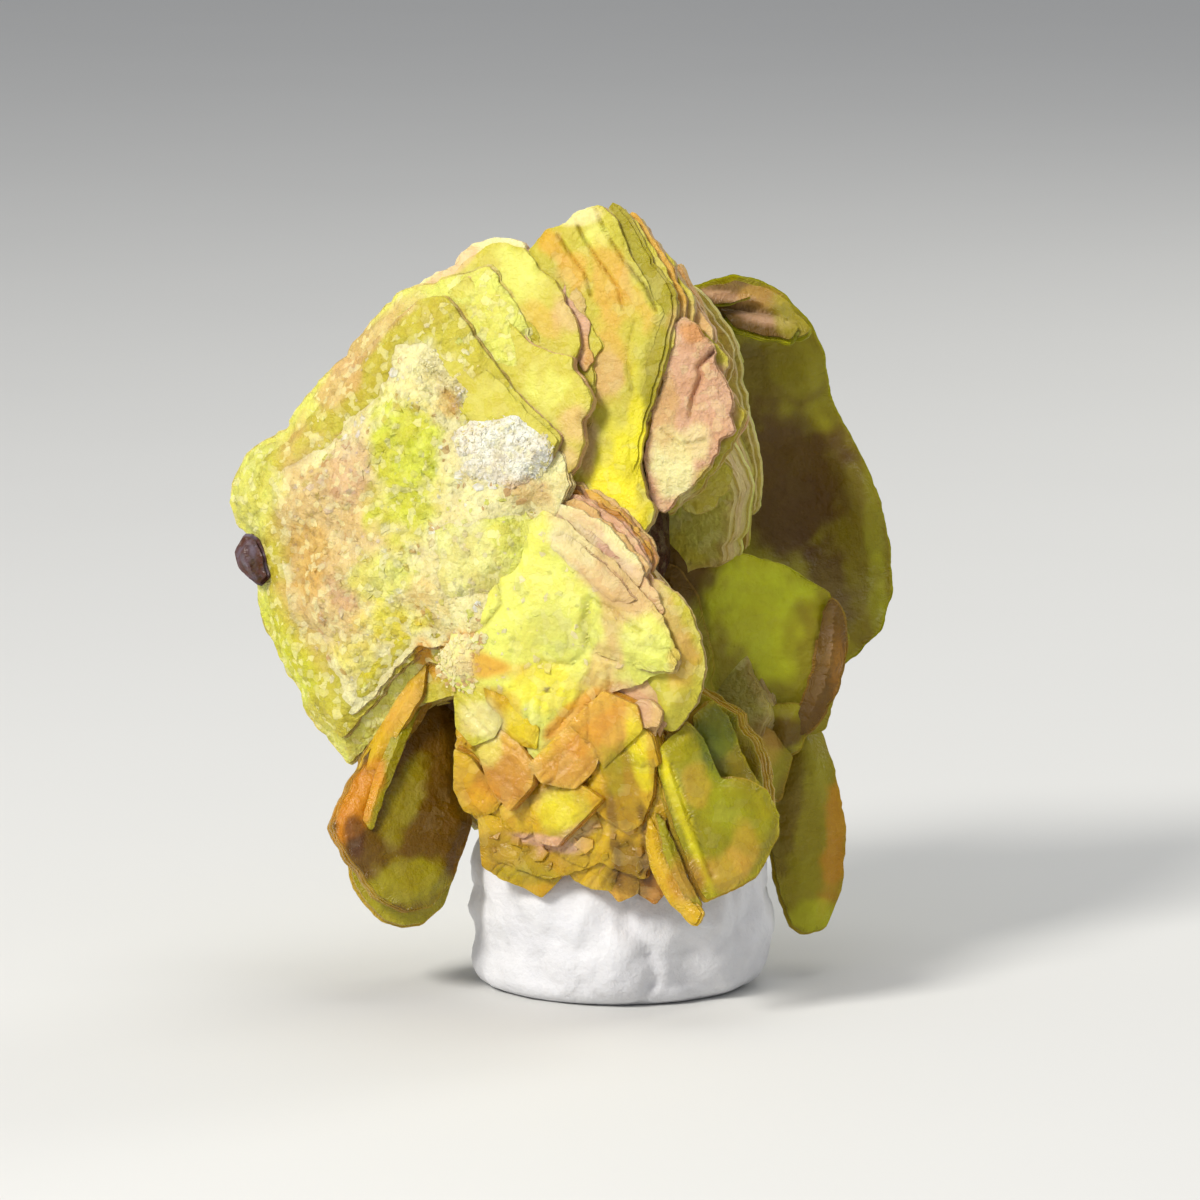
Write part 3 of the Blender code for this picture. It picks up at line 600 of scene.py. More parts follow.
class Scale:
    """A small thin chip of crystal, as a ready shape that is copied many times."""

    def __init__(self, seed, corners):
        chance = random.Random(seed)
        bm = bmesh.new()
        bmesh.ops.create_circle(bm, cap_ends=True, segments=corners, radius=1.0)
        for vert in bm.verts:
            vert.co *= chance.uniform(0.6, 1.2)
        made = bmesh.ops.extrude_face_region(bm, geom=list(bm.faces))["geom"]
        top = [item for item in made if isinstance(item, bmesh.types.BMVert)]
        bmesh.ops.translate(bm, verts=top, vec=(0.0, 0.0, 1.0))
        bmesh.ops.scale(bm, verts=top, vec=(0.85, 0.85, 1.0))
        bmesh.ops.recalc_face_normals(bm, faces=bm.faces)
        bmesh.ops.triangulate(bm, faces=bm.faces)
        self.points, self.faces = arrays_of(bm)


SCALES = [Scale(seed, corners) for seed, corners in enumerate((5, 4, 6, 5, 6, 4, 5, 6))]

# The slope of a face under a scale is taken over this distance, in millimetres.
SCALE_NUDGE = 0.06


def inside(outline, a, b):
    """Whether a point lies inside an outline."""
    found = False
    for (ua, va), (ub, vb) in zip(outline, outline[1:] + outline[:1]):
        if (va > b) != (vb > b) and a < ua + (ub - ua) * (b - va) / (vb - va):
            found = not found
    return found


class Stain:
    """A soft-edged patch of colour on the display, with half widths ru and rv, turned counterclockwise."""

    def __init__(self, u, v, ru, rv, tint, strength=0.8, turn=0.0):
        self.u, self.v, self.ru, self.rv = u, v, ru, rv
        self.tint = tint
        self.strength = strength
        self.turn = math.radians(turn)

    def weight(self, points, blur):
        """How strongly the stain colours each point, with its rim moved inwards by the blur."""
        du, dv = points[:, 0] - self.u, points[:, 1] - self.v
        cosine, sine = math.cos(self.turn), math.sin(self.turn)
        x, y = du * cosine + dv * sine, dv * cosine - du * sine
        reach = np.hypot(x / self.ru, y / self.rv) + blur
        share = np.clip((1.25 - reach) / 0.6, 0.0, 1.0)
        return self.strength * share * share * (3.0 - 2.0 * share)


class Piece:
    """One mesh object in the making: sheets and scales are added to it, and then it is finished."""

    def __init__(self, name, stains=(), first_seed=0):
        self.name = name
        self.stains = stains
        self.seed = first_seed
        self.points, self.faces, self.edge, self.layer, self.tints = [], [], [], [], []
        self.count = 0

    def collect(self, points, faces, edge, layer, tints):
        """Takes in a mesh: how near each point is to a rim, how deep in its sheet, and its tint."""
        self.points.append(points)
        self.faces.append(faces + self.count)
        self.edge.append(edge)
        self.layer.append(layer)
        self.tints.append(tints)
        self.count += len(points)

    def add(self, sheet):
        """Adds a sheet or a tablet, and gives it back with its seed and its rim."""
        self.seed += 1
        sheet.seed = self.seed
        bm, base = sheet_mesh(sheet, self.seed)
        sheet.rim_tree = kdtree.KDTree(len(base))
        for i, point in enumerate(base):
            sheet.rim_tree.insert(point, i)
        sheet.rim_tree.balance()
        rim = bm.verts.layers.int["rim"]
        points, edge, layer, tints = [], [], [], []
        deepest = sheet.thickness - 1e-6
        # Grooves pull the tint towards umber: painted shade in the cracks.
        dark, plain = tint("umber"), tint(sheet.tint)
        for vert in bm.verts:
            a, b, d = vert.co
            on_rim = vert[rim] > 0
            away = 0.0 if on_rim else sheet.rim_tree.find(Vector((a, b, 0.0)))[2]
            shade = 0.0
            if d == 0.0:
                d, shade = face_sink(sheet, a, b, away)
            elif d < deepest:
                d = sheet.soft + d * (sheet.thickness - sheet.soft) / sheet.thickness
            elif not on_rim and sheet.two_sided:
                d -= sheet.fine * face_height(sheet.face, a, b, sheet.seed) * min(1.0, away / RIM_FADE)
            points.append(sheet.at(a, b, d)[:])
            edge.append(1.0 if on_rim else math.exp(-away / EDGE_FADE))
            layer.append(vert.co.z)
            tints.append(plain + (dark - plain) * shade)
        _, faces = arrays_of(bm)
        self.collect(np.array(points), faces, np.array(edge), np.array(layer), np.array(tints))
        return sheet

    def sheet(self, outline, depth, lean, thickness, **finish):
        """Adds a sheet with a depth and a lean of its own."""
        return self.add(Sheet(outline, depth, lean, thickness, **finish))

    def front(self, outline, step, thickness, tip=(0.0, 0.0), **finish):
        """Adds a sheet parallel to the front family's surface, but for its tip, and step behind it."""
        depth, lean = front_surface(*middle_of(outline))
        return self.sheet(outline, depth + step, (lean[0] + tip[0], lean[1] + tip[1]), thickness, **finish)

    def scatter(self, sheet, outline, count, size, tilt, tints, thickness=0.25, sink=0.5, seed=0):
        """Strews scales over part of a sheet's face."""
        chance = random.Random(seed)
        us, vs = [u for u, _ in outline], [v for _, v in outline]
        laid = 0
        while laid < count:
            a, b = chance.uniform(min(us), max(us)), chance.uniform(min(vs), max(vs))
            if not inside(outline, a, b):
                continue
            laid += 1
            shape = SCALES[chance.randrange(len(SCALES))]
            radius = size[0] + (size[1] - size[0]) * chance.random() ** 2.5
            here = on_face(sheet, a, b)
            across = (on_face(sheet, a + SCALE_NUDGE, b) - here).normalized()
            along = (on_face(sheet, a, b + SCALE_NUDGE) - here).normalized()
            up = across.cross(along).normalized()
            if up.dot(sheet.inwards) > 0.0:
                up = -up
            lean = math.radians(chance.gauss(0.0, tilt))
            turned = Matrix.Rotation(lean, 3, across * math.cos(laid) + along * math.sin(laid)) @ up
            side = turned.orthogonal().normalized()
            side.rotate(Matrix.Rotation(chance.uniform(0.0, 6.28), 3, turned))
            other = turned.cross(side)
            tall = radius * thickness
            stretch = chance.uniform(0.55, 1.0)
            local = shape.points
            points = (
                np.array(here - turned * tall * sink)
                + np.outer(local[:, 0] * radius, np.array(side))
                + np.outer(local[:, 1] * radius * stretch, np.array(other))
                + np.outer(local[:, 2] * tall, np.array(turned))
            )
            base = tint(tints[chance.randrange(len(tints))]) * chance.uniform(0.86, 1.08)
            shades = np.clip(np.tile(base, (len(points), 1)), 0.0, 1.0)
            self.collect(points, shape.faces, np.full(len(points), 0.1), np.zeros(len(points)), shades)

    def stained(self, points, tints):
        """The tints with the stains laid over them, one after another."""
        warp = [(noise.noise(Vector(p) * 0.9), noise.noise(Vector(p) * 3.1)) for p in points]
        blur = np.array(warp) @ np.array([0.6, 0.35])
        for stain in self.stains:
            tints += (tint(stain.tint) - tints) * stain.weight(points, blur)[:, None]
        return tints

    def finish(self, material, sharp=38.0):
        """Makes the mesh object, with sharp edges where faces meet at more than an angle in degrees."""
        points = np.concatenate(self.points)
        tints = self.stained(points, np.concatenate(self.tints))
        faces = np.concatenate(self.faces)
        mesh = bpy.data.meshes.new(self.name)
        mesh.from_pydata((placed(points) * MM).tolist(), [], faces.tolist())
        mesh.update()
        colour = mesh.color_attributes.new("tint", "FLOAT_COLOR", "POINT")
        opaque = np.hstack([tints, np.ones((len(tints), 1))])
        colour.data.foreach_set("color", opaque.astype(np.float32).ravel())
        for name, values in (("edge", self.edge), ("layer", self.layer)):
            attribute = mesh.attributes.new(name, "FLOAT", "POINT")
            attribute.data.foreach_set("value", np.concatenate(values).astype(np.float32))
        mesh.shade_smooth()
        mesh.set_sharp_from_angle(angle=math.radians(sharp))
        mesh.materials.append(material)
        print(self.name, "has", len(faces), "triangles")
        return linked(self.name, mesh)


def crystal(piece, material):
    """Finishes a piece of the cluster and ties it to the part."""
    made = piece.finish(material)
    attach(made, "root")
    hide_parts("crystal_cluster")


# Materials. Heights are in units of HEIGHT_UNIT, and texture scales are per metre.

HEIGHT_UNIT = 0.0001


def math_node(tree, operation, first, second=None):
    node = tree.nodes.new("ShaderNodeMath")
    node.operation = operation
    for socket, value in zip(node.inputs, (first, second)):
        if value is None:
            continue
        if isinstance(value, (int, float)):
            socket.default_value = value
        else:
            tree.links.new(value, socket)
    return node.outputs[0]


def vector_node(tree, operation, first, second):
    node = tree.nodes.new("ShaderNodeVectorMath")
    node.operation = operation
    for socket, value in zip(node.inputs, (first, second)):
        if isinstance(value, tuple):
            socket.default_value = value
        else:
            tree.links.new(value, socket)
    return node.outputs["Value" if operation == "DOT_PRODUCT" else "Vector"]


def object_place(tree):
    return tree.nodes.new("ShaderNodeTexCoord").outputs["Object"]


def attribute_of(tree, name):
    node = tree.nodes.new("ShaderNodeAttribute")
    node.attribute_name = name
    return node.outputs


def noise_node(tree, vector, scale, detail=3.0, rough=0.6, output="Fac"):
    node = tree.nodes.new("ShaderNodeTexNoise")
    node.inputs["Detail"].default_value = detail
    node.inputs["Roughness"].default_value = rough
    tree.links.new(vector, node.inputs["Vector"])
    if isinstance(scale, (int, float)):
        node.inputs["Scale"].default_value = scale
    else:
        tree.links.new(scale, node.inputs["Scale"])
    return node.outputs[output]


def smooth_range(tree, value, low, high):
    node = tree.nodes.new("ShaderNodeMapRange")
    node.interpolation_type = "SMOOTHSTEP"
    tree.links.new(value, node.inputs["Value"])
    node.inputs["From Min"].default_value = low
    node.inputs["From Max"].default_value = high
    return node.outputs["Result"]


def fill_mottle(tree, given, out):
    """Where a face is mottled, at two sizes."""
    spot = object_place(tree)
    broad = noise_node(tree, spot, math_node(tree, "DIVIDE", 1600.0, given["Size"]), 4.0)
    fine = noise_node(tree, spot, math_node(tree, "DIVIDE", 7000.0, given["Size"]), 3.0)
    tree.links.new(smooth_range(tree, broad, 0.38, 0.64), out["Broad"])
    tree.links.new(smooth_range(tree, fine, 0.36, 0.66), out["Fine"])


def fill_facet(tree, given, out):
    """Small crystal faces, each tilted its own way: their height, and a random shade for each."""
    spot = object_place(tree)
    bent = noise_node(tree, spot, 9000.0, 1.0, 0.5, "Color")
    drift = vector_node(tree, "SUBTRACT", bent, (0.5, 0.5, 0.5))
    drift = vector_node(tree, "MULTIPLY", drift, (0.00008, 0.00008, 0.00008))
    moved = vector_node(tree, "ADD", spot, drift)
    cells = tree.nodes.new("ShaderNodeTexVoronoi")
    tree.links.new(moved, cells.inputs["Vector"])
    tree.links.new(math_node(tree, "DIVIDE", 8000.0, given["Size"]), cells.inputs["Scale"])
    offset = vector_node(tree, "SUBTRACT", moved, cells.outputs["Position"])
    random_tilt = vector_node(tree, "SUBTRACT", cells.outputs["Color"], (0.5, 0.5, 0.5))
    slope = vector_node(tree, "DOT_PRODUCT", offset, random_tilt)
    slope = math_node(tree, "MULTIPLY", slope, 2.0 / HEIGHT_UNIT)
    tree.links.new(math_node(tree, "MULTIPLY", slope, given["Tilt"]), out["Height"])
    shade = tree.nodes.new("ShaderNodeSeparateColor")
    tree.links.new(cells.outputs["Color"], shade.inputs["Color"])
    tree.links.new(shade.outputs["Green"], out["Shade"])


def fill_grain(tree, given, out):
    """Height of the fine uneven skin of a crystal."""
    rough = noise_node(tree, object_place(tree), math_node(tree, "DIVIDE", 5000.0, given["Size"]), 5.0, 0.62)
    tree.links.new(math_node(tree, "SUBTRACT", rough, 0.5), out["Height"])


def fill_leaf(tree, given, out):
    """The cut edges of the leaves: thin lines along them, how deep they lie, and where they are."""
    layer = attribute_of(tree, "layer")["Fac"]
    drift = noise_node(tree, object_place(tree), 900.0, 2.0)
    sheet = tree.nodes.new("ShaderNodeCombineXYZ")
    tree.links.new(math_node(tree, "DIVIDE", layer, given["Spacing"]), sheet.inputs["X"])
    tree.links.new(drift, sheet.inputs["Y"])
    lines = noise_node(tree, sheet.outputs["Vector"], 34.0, 2.0, 0.7)
    tree.links.new(smooth_range(tree, lines, 0.38, 0.62), out["Lines"])
    tree.links.new(smooth_range(tree, layer, 0.01, 0.14), out["Deep"])
    tree.links.new(attribute_of(tree, "edge")["Fac"], out["Edge"])


# Each node group: the function that fills it, its inputs with their values, and its outputs.
GROUPS = {
    "Mottle": (fill_mottle, {"Size": 1.0}, ("Broad", "Fine")),
    "Facets": (fill_facet, {"Size": 1.0, "Tilt": 0.2}, ("Height", "Shade")),
    "Fine grain": (fill_grain, {"Size": 1.0}, ("Height",)),
    "Leaf lines": (fill_leaf, {"Spacing": 1.0}, ("Lines", "Deep", "Edge")),
}


def group_named(name):
    """A node group, which is made when it is first asked for."""
    if name in bpy.data.node_groups:
        return bpy.data.node_groups[name]
    fill, inputs, outputs = GROUPS[name]
    tree = bpy.data.node_groups.new(name, "ShaderNodeTree")
    for label, default in inputs.items():
        socket = tree.interface.new_socket(name=label, in_out="INPUT", socket_type="NodeSocketFloat")
        socket.default_value = default
    for label in outputs:
        tree.interface.new_socket(name=label, in_out="OUTPUT", socket_type="NodeSocketFloat")
    given = tree.nodes.new("NodeGroupInput").outputs
    fill(tree, given, tree.nodes.new("NodeGroupOutput").inputs)
    return tree


def placed_group(tree, name, **values):
    """The outputs of a node group that is put into a tree with these values."""
    node = tree.nodes.new("ShaderNodeGroup")
    node.node_tree = group_named(name)
    for label, value in values.items():
        node.inputs[label].default_value = value
    return node.outputs


def mixed(tree, factor, first, second, blend="MIX"):
    node = tree.nodes.new("ShaderNodeMix")
    node.data_type = "RGBA"
    node.blend_type = blend
    for name, value in (("Factor_Float", factor), ("A_Color", first), ("B_Color", second)):
        socket = next(s for s in node.inputs if s.identifier == name)
        if isinstance(value, (int, float)):
            socket.default_value = value
        elif isinstance(value, (tuple, list, np.ndarray)):
            socket.default_value = (*value[:3], 1.0)
        else:
            tree.links.new(value, socket)
    return next(s for s in node.outputs if s.identifier == "Result_Color")


def set_values(shader, **values):
    """Sets sockets of a shader, each named with underscores for spaces."""
    for name, value in values.items():
        shader.inputs[name.replace("_", " ")].default_value = value


def new_material(name):
    material = bpy.data.materials.new(name)
    material.use_nodes = True
    tree = material.node_tree
    return material, tree, tree.nodes["Principled BSDF"]


def bumped(tree, shader, height):
    relief = tree.nodes.new("ShaderNodeBump")
    relief.inputs["Strength"].default_value = 1.0
    relief.inputs["Distance"].default_value = HEIGHT_UNIT
    tree.links.new(height, relief.inputs["Height"])
    tree.links.new(relief.outputs["Normal"], shader.inputs["Normal"])


def crystal_material(name, mottle=0.5, fine=0.5, pale=0.4, edge_tint="rose", edge_strength=0.6,
                     rough=(0.3, 0.6), facets=0.2, facet_size=1.0, grain=0.25, size=1.0, glow=0.2):
    """Tabular crystal: stained and mottled faces of small facets, and layered, darker cut edges."""
    material, tree, shader = new_material(name)
    spots = placed_group(tree, "Mottle", Size=size)
    cells = placed_group(tree, "Facets", Size=facet_size, Tilt=facets)
    skin = placed_group(tree, "Fine grain", Size=1.0)
    leaf = placed_group(tree, "Leaf lines", Spacing=1.0)

    broad = math_node(tree, "MULTIPLY", spots["Broad"], mottle)
    colour = mixed(tree, broad, attribute_of(tree, "tint")["Color"], (0.86, 0.74, 0.6), "MULTIPLY")
    small = math_node(tree, "MULTIPLY", spots["Fine"], fine)
    colour = mixed(tree, small, colour, (0.86, 0.8, 0.66), "MULTIPLY")
    bright = math_node(tree, "MULTIPLY", smooth_range(tree, cells["Shade"], 0.62, 0.95), pale)
    colour = mixed(tree, bright, colour, tint("cream"))
    wall = mixed(tree, leaf["Deep"], colour, tint(edge_tint))
    lines = math_node(tree, "MULTIPLY", leaf["Edge"], leaf["Deep"])
    lines = math_node(tree, "MULTIPLY", lines, edge_strength)
    colour = mixed(tree, lines, colour, wall)
    streaks = math_node(tree, "MULTIPLY", math_node(tree, "MULTIPLY", leaf["Lines"], leaf["Edge"]), 0.45)
    dark = math_node(tree, "MULTIPLY", streaks, leaf["Deep"])
    colour = mixed(tree, dark, colour, (0.55, 0.42, 0.3), "MULTIPLY")
    tree.links.new(colour, shader.inputs["Base Color"])

    spread = tree.nodes.new("ShaderNodeMapRange")
    tree.links.new(cells["Shade"], spread.inputs["Value"])
    spread.inputs["To Min"].default_value = rough[0]
    spread.inputs["To Max"].default_value = rough[1]
    tree.links.new(spread.outputs["Result"], shader.inputs["Roughness"])

    grains = math_node(tree, "MULTIPLY", skin["Height"], grain * 4.0)
    height = math_node(tree, "ADD", cells["Height"], grains)
    height = math_node(tree, "ADD", height, math_node(tree, "MULTIPLY", streaks, 0.4))
    bumped(tree, shader, height)

    set_values(shader, IOR=1.58, Specular_IOR_Level=0.3, Subsurface_Weight=glow,
               Subsurface_Radius=(1.0, 0.85, 0.25), Subsurface_Scale=0.0004)
    return material


def grain_material():
    """Dark purple-brown mineral with a grey bloom."""
    material, tree, shader = new_material("Dark grain")
    spots = placed_group(tree, "Mottle", Size=0.7)
    colour = mixed(tree, spots["Broad"], attribute_of(tree, "tint")["Color"], linear(0.42, 0.37, 0.42))
    tree.links.new(colour, shader.inputs["Base Color"])
    bumped(tree, shader, placed_group(tree, "Facets", Size=1.2, Tilt=0.4)["Height"])
    set_values(shader, Roughness=0.4)
    return material


def putty_material():
    """Soft white putty with a faint skin texture."""
    material, tree, shader = new_material("Mounting putty")
    spots = placed_group(tree, "Mottle", Size=1.6)
    soiled = math_node(tree, "MULTIPLY", spots["Broad"], 0.35)
    colour = mixed(tree, soiled, tuple(settings().putty.colour), (0.84, 0.84, 0.87), "MULTIPLY")
    tree.links.new(colour, shader.inputs["Base Color"])
    skin = placed_group(tree, "Fine grain", Size=2.4)["Height"]
    bumped(tree, shader, math_node(tree, "MULTIPLY", skin, 0.9))
    set_values(shader, Roughness=0.6, Subsurface_Weight=0.3, Subsurface_Radius=(1.0, 0.95, 0.9),
               Subsurface_Scale=0.0004)
    return material


def floor_material():
    """Plain pale matte floor."""
    material, tree, shader = new_material("Floor")
    cloud = noise_node(tree, object_place(tree), 60.0, 2.0)
    floor = settings().stage.floor
    colour = mixed(tree, cloud, tuple(floor), tuple(c * 0.97 for c in floor))
    tree.links.new(colour, shader.inputs["Base Color"])
    set_values(shader, Roughness=0.75)
    return material


# The pieces of the cluster.


class SPECIMEN_OT_front_left_fan(bpy.types.Operator):
    """The broad lumpy fan on the left, with its flakes and its pale druse"""

    bl_idname = "specimen.front_left_fan"
    bl_label = "Front left fan"

    def execute(self, context):
        rim = [
            (-2.3, 6.7), (-3.1, 6.45), (-3.65, 6.3), (-4.0, 6.2), (-4.5, 5.75), (-4.9, 5.25), (-5.4, 4.7),
            (-5.8, 4.2), (-6.25, 3.75), (-6.35, 3.4), (-6.8, 3.2), (-7.15, 2.9), (-7.4, 2.4), (-7.48, 1.95),
            (-7.35, 1.55), (-7.1, 1.2), (-6.95, 0.1), (-6.8, -0.5), (-6.55, -1.0), (-6.3, -1.5),
            (-6.05, -1.85), (-6.0, -2.2), (-5.6, -2.7), (-5.1, -3.28), (-4.6, -2.75), (-4.1, -2.0),
            (-3.6, -1.2), (-2.0, -1.6), (-0.9, -1.2), (-0.9, 1.6), (-1.0, 3.6), (-1.6, 5.6),
        ]
        band = [
            (-3.2, 6.1), (-3.7, 6.0), (-4.2, 5.6), (-4.65, 5.15), (-5.1, 4.65), (-5.55, 4.1), (-5.95, 3.6),
            (-6.3, 3.2), (-6.75, 2.9), (-7.05, 2.5), (-7.1, 1.9), (-6.9, 1.1), (-6.75, 0.2), (-6.6, -0.5),
            (-6.35, -1.1), (-6.05, -1.6), (-5.75, -2.2), (-5.25, -2.75), (-4.8, -2.3), (-4.2, -1.5),
            (-3.6, -1.0), (-1.6, -1.2), (-1.2, 1.4), (-1.2, 3.4), (-2.4, 5.0),
        ]
        body = [
            (-3.4, 5.25), (-3.8, 5.42), (-4.2, 5.25), (-4.6, 4.85), (-5.0, 4.35), (-5.45, 3.85),
            (-5.85, 3.35), (-6.15, 2.95), (-6.6, 2.6), (-6.8, 2.2), (-6.75, 1.6), (-6.6, 0.9), (-6.5, 0.2),
            (-6.35, -0.5), (-6.1, -1.1), (-5.8, -1.6), (-5.5, -2.0), (-5.2, -2.3), (-4.8, -2.0),
            (-4.3, -1.4), (-3.9, -1.0), (-3.4, -0.9), (-2.8, -1.3), (-2.0, -1.2), (-1.6, -0.4), (-1.4, 1.0),
            (-1.1, 1.8), (-0.85, 2.3), (-0.95, 2.9), (-1.2, 3.1), (-1.7, 3.45), (-2.2, 3.6), (-2.6, 3.8),
            (-2.76, 4.2), (-3.0, 4.6), (-3.2, 4.95),
        ]
        bulge = [
            (-6.5, 3.15), (-6.9, 3.05), (-7.2, 2.8), (-7.42, 2.35), (-7.46, 1.95), (-7.3, 1.55),
            (-7.0, 1.35), (-6.7, 1.6), (-6.5, 2.2),
        ]
        lobe = [
            (-3.7, 1.6), (-3.2, 1.95), (-2.4, 2.06), (-1.68, 1.9), (-1.5, 1.5), (-1.6, 0.7), (-1.8, 0.34),
            (-2.2, 0.0), (-2.6, -0.3), (-3.0, -0.4), (-3.4, -0.36), (-3.64, 0.04), (-3.76, 0.8),
        ]
        deep = [
            (-2.6, 5.9), (-3.8, 5.3), (-4.8, 4.3), (-5.6, 3.2), (-6.3, 2.3), (-6.5, 1.3), (-6.2, 0.0),
            (-5.7, -1.1), (-5.0, -2.0), (-4.0, -2.2), (-2.4, -1.8), (-0.8, -1.2), (-0.7, 1.4), (-0.7, 4.2),
            (-1.4, 5.6),
        ]
        druse = [
            (-3.16, 3.26), (-2.7, 3.58), (-2.38, 3.64), (-1.78, 3.74), (-1.42, 3.42), (-0.98, 3.2),
            (-1.08, 2.72), (-1.36, 2.34), (-1.58, 2.08), (-1.84, 2.02), (-2.32, 2.14), (-2.64, 2.24),
            (-2.92, 2.46), (-3.02, 2.78),
        ]
        ridge = [
            (-4.14, 4.66), (-3.72, 5.08), (-3.28, 5.18), (-3.14, 4.92), (-2.96, 4.54), (-2.64, 4.22),
            (-2.72, 3.8), (-2.96, 3.8), (-3.18, 4.14), (-3.44, 4.42), (-3.8, 4.58),
        ]
        stains = [
            Stain(-4.45, 5.35, 1.2, 0.22, "rose", 0.6, 46),
            Stain(-5.2, 4.35, 0.6, 0.3, "tan", 0.8, 45),
            Stain(-5.4, 1.6, 1.2, 1.6, "tan", 0.65),
            Stain(-5.5, -0.3, 0.9, 0.9, "tan", 0.6),
            Stain(-5.0, 2.7, 0.6, 0.65, "rose", 0.5),
            Stain(-5.9, 0.9, 0.4, 0.7, "ochre", 0.6),
            Stain(-4.9, 0.2, 0.5, 0.3, "rose", 0.5),
            Stain(-3.85, 2.7, 0.75, 1.5, "lime", 0.85),
            Stain(-3.5, 0.0, 0.7, 0.6, "ochre", 0.35),
            Stain(-4.3, 0.5, 0.7, 0.5, "lemon", 0.8),
            Stain(-4.0, -0.5, 0.7, 0.5, "bright", 0.8),
            Stain(-4.9, -1.1, 0.5, 0.4, "bright", 0.5),
            Stain(-3.55, -1.0, 0.25, 0.5, "iron", 0.8, 10),
            Stain(-2.4, -1.0, 0.9, 0.4, "iron", 0.7),
            Stain(-2.7, 0.8, 0.9, 1.0, "cream", 0.5),
            Stain(-1.5, 2.2, 0.6, 0.3, "tan", 0.7, -20),
            Stain(-3.45, 4.6, 0.7, 0.5, "cream", 0.8, -40),
            Stain(-2.0, 2.9, 0.8, 0.6, "druse", 0.8),
            # Partly painted shade: the brown line of shade under the ledge of the ridge, partly ochre
            # staining.
            Stain(-3.0, 3.9, 0.3, 0.3, "ochre", 0.6, -40),
            Stain(-6.95, 2.2, 0.5, 0.9, "lemon", 0.7),
            Stain(-6.2, -1.3, 0.45, 1.2, "lime", 0.6, 20),
            Stain(-5.6, -2.3, 0.5, 0.5, "straw", 0.6),
        ]
        piece = Piece("front_left_fan", stains, first_seed=100)
        cushion = {"face": "smooth", "soft": 0.2, "soft_width": 0.32}
        piece.front(rim, 0.62, 0.55, tint="lemon", bow=0.012, cell=MEDIUM, fine=0.07, **cushion)
        edge = piece.front(band, 0.42, 0.5, tint="straw", cell=MEDIUM, fine=0.1, face="rough", soft=0.18)
        top = piece.front(
            body, -0.02, 0.75, tint="cream", relief=1.6 * RELIEF, cell=FINE, fine=0.15, face="rough",
            soft=0.5, soft_width=1.1,
        )
        piece.front(bulge, 0.4, 0.4, tint="lemon", cell=FINE, fine=0.05, soft=0.3, soft_width=0.5)
        low = piece.front(lobe, -0.12, 0.6, tint="lemon", cell=FINE, fine=0.12, soft=0.35, soft_width=0.6)
        piece.front(deep, 1.1, 0.8)
        piece.front(shrunk(deep, 0.95, (-0.1, 0.1)), 1.85, 0.8, tint="ochre")
        piece.front(shrunk(deep, 0.88, (0.1, 0.2)), 2.6, 0.9)
        pale = piece.front(druse, -0.08, 0.5, tint="druse", cell=FINE, fine=0.1, face="rough", soft=0.25)
        high = piece.front(ridge, 0.04, 0.5, tint="cream", cell=FINE, fine=0.1, face="rough", soft=0.2)
        warm = ("cream", "tan", "lemon", "druse")
        light = ("cream", "lemon")
        sugar = ("druse", "druse", "cream")
        bright = ("druse", "cream")
        piece.scatter(top, shrunk(body, 0.88), 850, (0.03, 0.2), 7.0, warm, 0.2, 0.9, seed=1)
        piece.scatter(edge, shrunk(band, 0.97), 200, (0.03, 0.14), 8.0, light, 0.2, 0.85, seed=2)
        piece.scatter(pale, shrunk(druse, 0.97), 1300, (0.02, 0.075), 24.0, sugar, 0.6, 0.7, seed=3)
        piece.scatter(high, shrunk(ridge, 0.97), 600, (0.02, 0.075), 22.0, bright, 0.6, 0.7, seed=4)
        piece.scatter(low, shrunk(lobe, 0.8), 40, (0.05, 0.16), 6.0, ("lemon", "cream"), 0.2, 0.9, seed=5)
        crystal(piece, crystal_material(
            "Fan crystal", mottle=0.6, fine=0.5, pale=0.5, rough=(0.22, 0.6), facets=0.3, facet_size=1.1,
            grain=0.3, edge_tint="tan",
        ))
        return {"FINISHED"}


